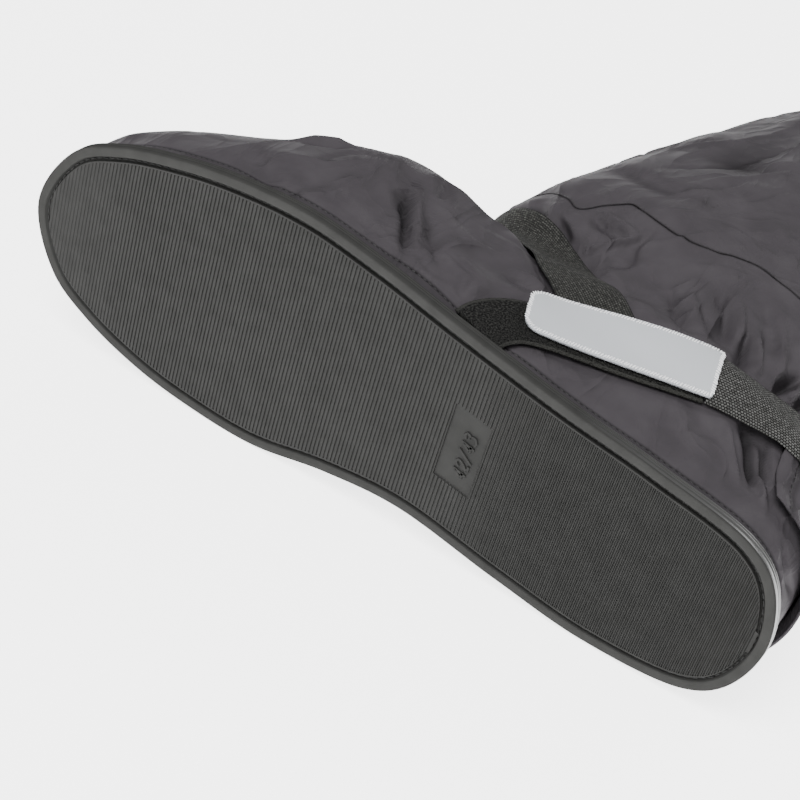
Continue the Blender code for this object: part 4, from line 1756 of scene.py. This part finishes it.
    def folds(self, points: np.ndarray) -> np.ndarray:
        """Height of the listed creases: each a bell across its line that fades along a sine to its ends.

        Args:
            points: Points of the smooth cloth.

        Returns:
            How far each is moved out.
        """
        total = np.zeros(points.shape[:-1])
        for crease in self.creases:
            knots = np.array(crease.points, float)
            at = np.linspace(0.0, len(knots) - 1.0, self.crease_samples)
            line = self.form.on_outer(hermite(at, np.arange(len(knots)), knots))
            distance, part, side = self.line_field(points, line)
            share = np.clip(self.fade_start + self.fade_length * part, 0.0, 1.0)
            fade = np.clip(self.fade_gain * np.sin(math.pi * share), 0.0, 1.0)
            width = crease.width * np.where(side > 0.0, self.steep_side, self.slow_side)
            total += crease.depth * fade * bell(distance, width)
        return total

    def slack(self, points: np.ndarray) -> np.ndarray:
        """Slack of the cloth: broad swells, and bells across the lines where two other fields are 0.

        Args:
            points: Points of the smooth cloth.

        Returns:
            How far each is moved out.
        """
        broad = sum(swell.at(points) for swell in self.swells)
        sharp = self.crumple_height * bell(self.crumples.at(points), self.crumple_width)
        sharp = sharp - self.dent_depth * bell(self.dents.at(points), self.crumple_width)
        return broad + sharp * np.clip(self.patch_share + self.patches.at(points), 0.0, self.patch_most)

    def drape(self, points: np.ndarray) -> np.ndarray:
        """Soft lengthwise folds of the shaft: random fields drawn out along the leg, stronger to the mouth.

        Args:
            points: Points of the smooth cloth.

        Returns:
            How far each is moved out.
        """
        share = np.clip((points[..., 1] - self.drape_from) / self.drape_length, 0.0, 1.0)
        return self.drape_depth * share * sum(fold.at(points) for fold in self.drapes)

    def pressed(self, points: np.ndarray) -> tuple[np.ndarray, np.ndarray]:
        """Find the cloth under and beside the straps, by the distance from their middles.

        Args:
            points: Points of the smooth cloth.

        Returns:
            How far each lies under a strap, and how much it bulges beside one, both from 0 to 1.
        """
        under = np.zeros(points.shape[:-1])
        beside = np.zeros(points.shape[:-1])
        for band in (self.straps.instep, self.straps.heel, self.straps.loop):
            gap = self.line_field(points, band.middle()[:: self.route_stride])[0] - band.width / 2.0
            under = np.maximum(under, gate(gap - self.press_past, self.press_soft))
            beside = np.maximum(beside, bell(gap - self.bulge_at, self.bulge_width))
        return under, beside * (1.0 - under)

    def shaped(
        self, around: np.ndarray, level: np.ndarray, to_seam: np.ndarray
    ) -> tuple[np.ndarray, np.ndarray]:
        """Creased cloth: the smooth face moved along its normal by the sum of all that shapes it.

        Args:
            around: Angle of each grid point.
            level: Level of each grid point.
            to_seam: Height of each grid point above the ankle seam, negative below it.

        Returns:
            Points in millimetres and the painted shade of each, from 0 to 1, in creases and along the seams,
            with a darker band below the sole seam.
        """
        base = self.form.skin(around, level)
        normal = self.form.frame_at(around, level)[2]
        height = base[..., 1]
        to_margin = height - self.margin_height
        under, beside = self.pressed(base)
        hold = gate(self.hold_height - height, self.hold_soft)
        off_floor = np.clip((base[..., 2] - self.floor_from) / self.floor_reach, 0.0, 1.0)
        move = self.folds(base) + self.slack(base) * hold + self.drape(base) + self.bulge * beside * hold
        move = move + self.pucker.at(base) * bell(to_seam, self.pucker_reach)
        flat = np.minimum(move, self.press_free * (1.0 - under) + self.press_gap) - self.press_depth * under
        move = np.where(under > self.press_from, flat, move)
        move = move * np.where(move < 0.0, off_floor * (1.0 - self.floor_share) + self.floor_share, off_floor)
        dent = -self.margin_dent * bell(to_margin, self.margin_dent_width)
        lap = np.where(to_seam >= 0.0, self.lap_over, self.lap_under) * bell(to_seam, self.lap_width)
        lap = lap * np.clip(off_floor + self.lap_on_floor, 0.0, 1.0)
        to_hem = (self.form.top_level - level) * self.level_length - self.hem_depth
        hem = self.hem_rise * off_floor * gate(to_hem, self.hem_soft)
        points = base + normal * (move + dent + hem + lap)[..., None]
        # Painted shade in deep creases, in the dent along the sole seam and at the ankle seam's lap; the
        # cloth below the sole seam is darker as well.
        deep = np.clip((-move - self.crease_shade_from) / self.crease_shade_range, 0.0, self.crease_shade_most)
        deep = deep + self.margin_painted_shade * bell(to_margin, self.margin_painted_shade_width)
        deep = deep + self.margin_shade * (to_margin < 0.0)
        deep = deep + self.seam_painted_shade * bell(to_seam, self.seam_painted_shade_width)
        return points, np.clip(deep, 0.0, 1.0)

    def build(self, material: bpy.types.Material, thread: bpy.types.Material) -> None:
        """Make upper and shaft, with the stitches of the sole seam, the ankle seam and the hem.

        Args:
            material: The nylon's finish.
            thread: The thread's finish.
        """
        around = self.columns()
        seam_height = self.seam_height(around)
        seam = self.form.level_at(around, seam_height)
        top = np.full_like(around, self.form.top_level)
        margin = np.linspace(0.0, self.margin_level, self.margin_rows, endpoint=False)[:, None]
        share = np.linspace(0.0, 1.0, self.upper_rows - self.margin_rows)[:, None]
        share = 1.0 - (1.0 - share) ** self.close_rows
        margin = np.broadcast_to(margin, (self.margin_rows, len(around)))
        upper = np.vstack([margin, self.margin_level + share * (seam - self.margin_level)])
        share = np.linspace(0.0, 1.0, self.shaft_rows)[:, None]
        shaft = seam + share**self.close_rows * (top - seam)
        for name, node, level, reach, cut, below in (
            ("upper_cloth", "upper", upper, (-np.inf, -self.seam_gap), self.upper_cut, "outsole"),
            ("shaft_cloth", "shaft", shaft, (0.0, np.inf), self.shaft_cut, "upper"),
        ):
            angles = np.broadcast_to(around, level.shape)
            to_seam = np.clip(self.form.skin(angles, level)[..., 1] - seam_height, *reach)
            points, deep = self.shaped(angles, level, to_seam)
            faces = grid_quads(*level.shape, True).tolist()
            piece = add_piece(name, self.form.to_row(points), faces, material)
            set_painted_shade(piece, deep)
            add_wall(piece, self.wall)
            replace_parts(piece, node)
        self.build_stitches(thread)

    def build_stitches(self, material: bpy.types.Material) -> None:
        """Dark thread along the sole seam, the ankle seam and the hem.

        Args:
            material: The thread's finish.
        """
        around = np.linspace(0.0, 2.0 * math.pi, self.stitch_samples)
        seam_height = self.seam_height(around)
        sole = self.form.level_at(around, np.full(around.shape, self.margin_height))
        ankle = self.form.level_at(around, seam_height + self.ankle_stitch_above)
        inset = (self.hem_depth - self.hem_stitch_inset) / self.level_length
        hem = np.full(around.shape, self.form.top_level - inset)
        for name, level, lift, rows in (
            ("sole_seam_stitching", sole, self.stitch_lift, self.sole_stitches),
            ("ankle_seam_stitching", ankle, self.stitch_lift, self.ankle_stitches),
            ("hem_stitching", hem, self.hem_stitch_lift, self.hem_stitches),
        ):
            to_seam = self.form.skin(around, level)[:, 1] - seam_height
            path = self.shaped(around, level, to_seam)[0]
            up = self.form.frame_at(around, level)[2]
            points, faces = rows.points(path + up * lift, up)
            add_piece(name, self.form.to_row(points), faces, material)


class FlapRow(NamedTuple):
    """The storm flap's outer and inner edge, in degrees round the shoe, at a height."""

    height: float
    outer_edge: float
    inner_edge: float


@dataclass
class StormFlap:
    """Folded strip of nylon up the back, held under the heel strap."""

    form: Form
    cloth: Cloth
    cut: Cut = Cut(0.08, 0.335, 0.0246)
    far_from_seam: float = 60.0
    most_rise: float = 2.4
    foot_lift: float = 2.6
    foot_height: float = 6.0
    thickness: float = 1.0
    lift: float = 0.8
    rows: int = 150
    columns: int = 44
    gather: float = 1.5
    # The folded edge and the seam beside it, as shares of the strip's width, with painted shade in the seam's
    # dip.
    fold_rise: float = 0.5
    fold_width: float = 0.05
    seam_at: float = 0.11
    seam_dip: float = 0.35
    seam_width: float = 0.03
    seam_painted_shade: float = 0.5
    seam_painted_shade_width: float = 0.02
    stitch_lift: float = 0.1
    stitches: StitchRow = StitchRow(pitch=2.6, length=1.7, width=0.45, height=0.5, seed=9)
    edge_rows: tuple[FlapRow, ...] = (
        FlapRow(26.5, 150.0, 198.0),
        FlapRow(45.0, 144.3, 203.0),
        FlapRow(75.0, 140.5, 206.0),
        FlapRow(130.0, 136.5, 208.0),
        FlapRow(240.0, 134.0, 209.0),
        FlapRow(352.0, 133.0, 209.0),
    )

    def build(self, material: bpy.types.Material, thread: bpy.types.Material) -> None:
        """Make the strip with a folded edge on the creased cloth, and the stitches beside that edge.

        Args:
            material: The nylon's finish.
            thread: The thread's finish.
        """
        table = np.array(self.edge_rows)
        foot = table[0, 0]
        height = foot + np.linspace(0.0, 1.0, self.rows) ** self.gather * (table[-1, 0] - foot)
        edges = np.radians(hermite(height, table[:, 0], table[:, 1:]))
        share = np.linspace(0.0, 1.0, self.columns)
        around = edges[:, :1] + share * (edges[:, 1:] - edges[:, :1])
        level = self.form.level_at(around, np.broadcast_to(height[:, None], around.shape))
        base = self.form.skin(around, level)
        normal = self.form.frame_at(around, level)[2]
        fold = self.fold_rise * bell(share, self.fold_width)
        fold = fold - self.seam_dip * bell(share - self.seam_at, self.seam_width)
        below = self.cloth.shaped(around, level, np.full(around.shape, self.far_from_seam))[0]
        lift = self.lift + fold + np.clip(np.sum((below - base) * normal, axis=-1), 0.0, self.most_rise)
        lift = lift + self.foot_lift * bell(height - foot, self.foot_height)[:, None]
        points = self.form.lifted(around, level, lift)
        faces = grid_quads(self.rows, self.columns, False).tolist()
        piece = add_piece("storm_flap_cloth", self.form.to_row(points), faces, material)
        # Painted shade along the seam's dip, which darkens the nylon's colour.
        deep = self.seam_painted_shade * bell(share - self.seam_at, self.seam_painted_shade_width)
        set_painted_shade(piece, np.broadcast_to(deep, around.shape))
        add_wall(piece, self.thickness, inwards=False)
        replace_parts(piece, "storm_flap")
        line = int(self.seam_at * (self.columns - 1))
        up = normal[:, line]
        path = points[:, line] + up * (self.thickness + self.stitch_lift)
        stitches, bars = self.stitches.points(path, up)
        add_piece("storm_flap_stitching", self.form.to_row(stitches), bars, thread)


@dataclass
class Studio:
    """Pale floor, soft lights and the photo's camera."""

    form: Form
    lens: float = 85.5
    sensor: float = 36.0
    nearest: float = 0.01
    camera_at: tuple[float, float, float] = (222.2, -484.4, 439.6)
    right: tuple[float, float, float] = (0.8085, 0.2412, 0.5367)
    down: tuple[float, float, float] = (0.5009, -0.7608, -0.4126)
    world_light: float = 0.45
    lamps: tuple[Lamp, ...] = (
        Lamp("key_light", (-0.2, -1.1, 2.0), 66.0, 1.3),
        Lamp("front_light", (0.1, -1.5, 0.9), 7.0, 1.4),
        Lamp("leg_light", (0.66, 1.12, 0.98), 8.0, 0.6),
    )
    lamps_face: tuple[float, float, float] = (0.0, -0.1, 0.05)
    floor_size: float = 30.0
    floor_colour: str = "#fafafa"
    floor_roughness: float = 0.9
    floor_glow: float = 3.2

    def turned(self, way: tuple[float, float, float]) -> Vector:
        """Turn a direction of the foot's axes into the row frame.

        Args:
            way: Its parts along, aside and up the leg.

        Returns:
            The direction, of length 1.
        """
        along, aside, up = way
        x = along * math.cos(self.form.axis_turn) + aside * math.sin(self.form.axis_turn)
        z = aside * math.cos(self.form.axis_turn) - along * math.sin(self.form.axis_turn)
        return Vector((x, up, z)).normalized()

    def build(self) -> None:
        """Set camera, floor, lights and world."""
        scene = bpy.context.scene
        data = bpy.data.cameras.new("camera")
        data.lens = self.lens
        data.sensor_width = self.sensor
        data.clip_start = self.nearest
        camera = bpy.data.objects.new("camera", data)
        scene.collection.objects.link(camera)
        right = self.turned(self.right)
        up = -self.turned(self.down)
        up = (up - right * up.dot(right)).normalized()
        place = Vector(self.form.to_row(np.array(self.camera_at)))
        turn = Matrix((right, up, right.cross(up))).transposed().to_4x4()
        camera.matrix_world = Matrix.Translation(place) @ turn
        scene.camera = camera
        self.add_floor(scene)
        for lamp in self.lamps:
            self.add_light(scene, lamp)
        world = bpy.data.worlds.new("studio")
        world.use_nodes = True
        world.node_tree.nodes["Background"].inputs["Color"].default_value = WHITE
        world.node_tree.nodes["Background"].inputs["Strength"].default_value = self.world_light
        scene.world = world

    def add_light(self, scene: bpy.types.Scene, lamp: Lamp) -> None:
        """Hang a square soft light that faces the shoe.

        Args:
            scene: The scene.
            lamp: The light.
        """
        data = bpy.data.lights.new(lamp.name, "AREA")
        data.energy = lamp.energy
        data.size = lamp.size
        light = bpy.data.objects.new(lamp.name, data)
        light.location = lamp.spot
        light.rotation_mode = "QUATERNION"
        light.rotation_quaternion = (Vector(self.lamps_face) - Vector(lamp.spot)).to_track_quat("-Z", "Y")
        scene.collection.objects.link(light)

    def add_floor(self, scene: bpy.types.Scene) -> None:
        """Lay a wide pale floor that glows, so that it comes out near white.

        Args:
            scene: The scene.
        """
        half = self.floor_size / 2.0
        mesh = bpy.data.meshes.new("floor")
        corners = [(-half, -half, 0.0), (half, -half, 0.0), (half, half, 0.0), (-half, half, 0.0)]
        mesh.from_pydata(corners, [], [(0, 1, 2, 3)])
        material, _, shader = new_material("floor_white_paper")
        shader.inputs["Base Color"].default_value = linear(self.floor_colour)
        shader.inputs["Roughness"].default_value = self.floor_roughness
        shader.inputs["Emission Color"].default_value = WHITE
        shader.inputs["Emission Strength"].default_value = self.floor_glow
        mesh.materials.append(material)
        floor = bpy.data.objects.new("floor", mesh)
        scene.collection.objects.link(floor)


def write_sizes() -> None:
    """Bring the scene's view layer up to date."""
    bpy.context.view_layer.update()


def build_finishes() -> Finishes:
    """Make the finishes of the sole, the straps and the tab.

    Returns:
        The finishes.
    """
    return Finishes(
        # Smooth moulded rim: a plain dark grey band without shine.
        rim=SheetRubber(
            name="sheet_rubber_smooth_rim",
            colour="#313130",
            pale="#363635",
            roughness=0.5,
            grain_mm=0.5,
            grain=0.06,
            specular=0.0,
        ).build(),
        # Side rubbed by wear: it catches the light at the heel and stays dull at the toe.
        side=SheetRubber(
            name="sheet_rubber_rubbed_side",
            colour="#323231",
            pale="#363635",
            roughness=0.34,
            grain_mm=0.5,
            grain=0.04,
            specular=0.0,
            gloss_from=45.0,
            gloss_to=105.0,
            gloss=0.8,
        ).build(),
        tread=SheetRubber().build(),
        # Waxed sole thread: dull black beads in the groove.
        sole_thread=Plain(name="sole_thread_black", colour="#1b1b1a", roughness=0.8).build(),
        webbing=WovenWebbing().build(),
        # Finer webbing of the instep: closer rows, so it looks smoother and darker.
        fine_webbing=WovenWebbing(
            name="webbing_fine_weave",
            yarn="#52524f",
            shade="#353533",
            # Painted shade in the gaps between the yarns.
            gap="#0a0a0a",
            row_mm=0.95,
            gap_mm=0.35,
            speckle=0.8,
        ).build(),
        pile=LoopPile().build(),
        # Reflective film: pale grey with a soft broad shine.
        film=Plain(name="reflective_film_grey", colour="#b3b6ba", roughness=0.45).build(),
        # Bright white overlock thread: a matt pale border round the tab.
        white_thread=Plain(name="polyester_thread_white", colour="#f2f2f3", roughness=0.7).build(),
    )


def main() -> None:
    """Dress the shoe and set the stage."""
    logging.basicConfig(level=logging.INFO, format="%(message)s")
    form = Form()
    nylon = CoatedNylon().build()
    # Polyester thread: black lines with a faint shine along the seams.
    thread = Plain(name="polyester_thread_black", colour="#1c1b1c", roughness=0.6).build()
    finishes = build_finishes()
    Outsole(form).build(finishes)
    # Pressed fibre board: a dull dark face with coarse grain.
    board = Plain(name="pressed_fibre_board", colour="#2a2928", roughness=0.9, grain_mm=1.5, grain=0.3)
    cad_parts["insole"].data.materials.clear()
    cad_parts["insole"].data.materials.append(board.build())
    straps = Straps(form)
    cloth = Cloth(form, straps)
    cloth.build(nylon, thread)
    StormFlap(form, cloth).build(nylon, thread)
    straps.build(finishes)
    Studio(form).build()
    write_sizes()


if __name__ == "__main__":
    main()
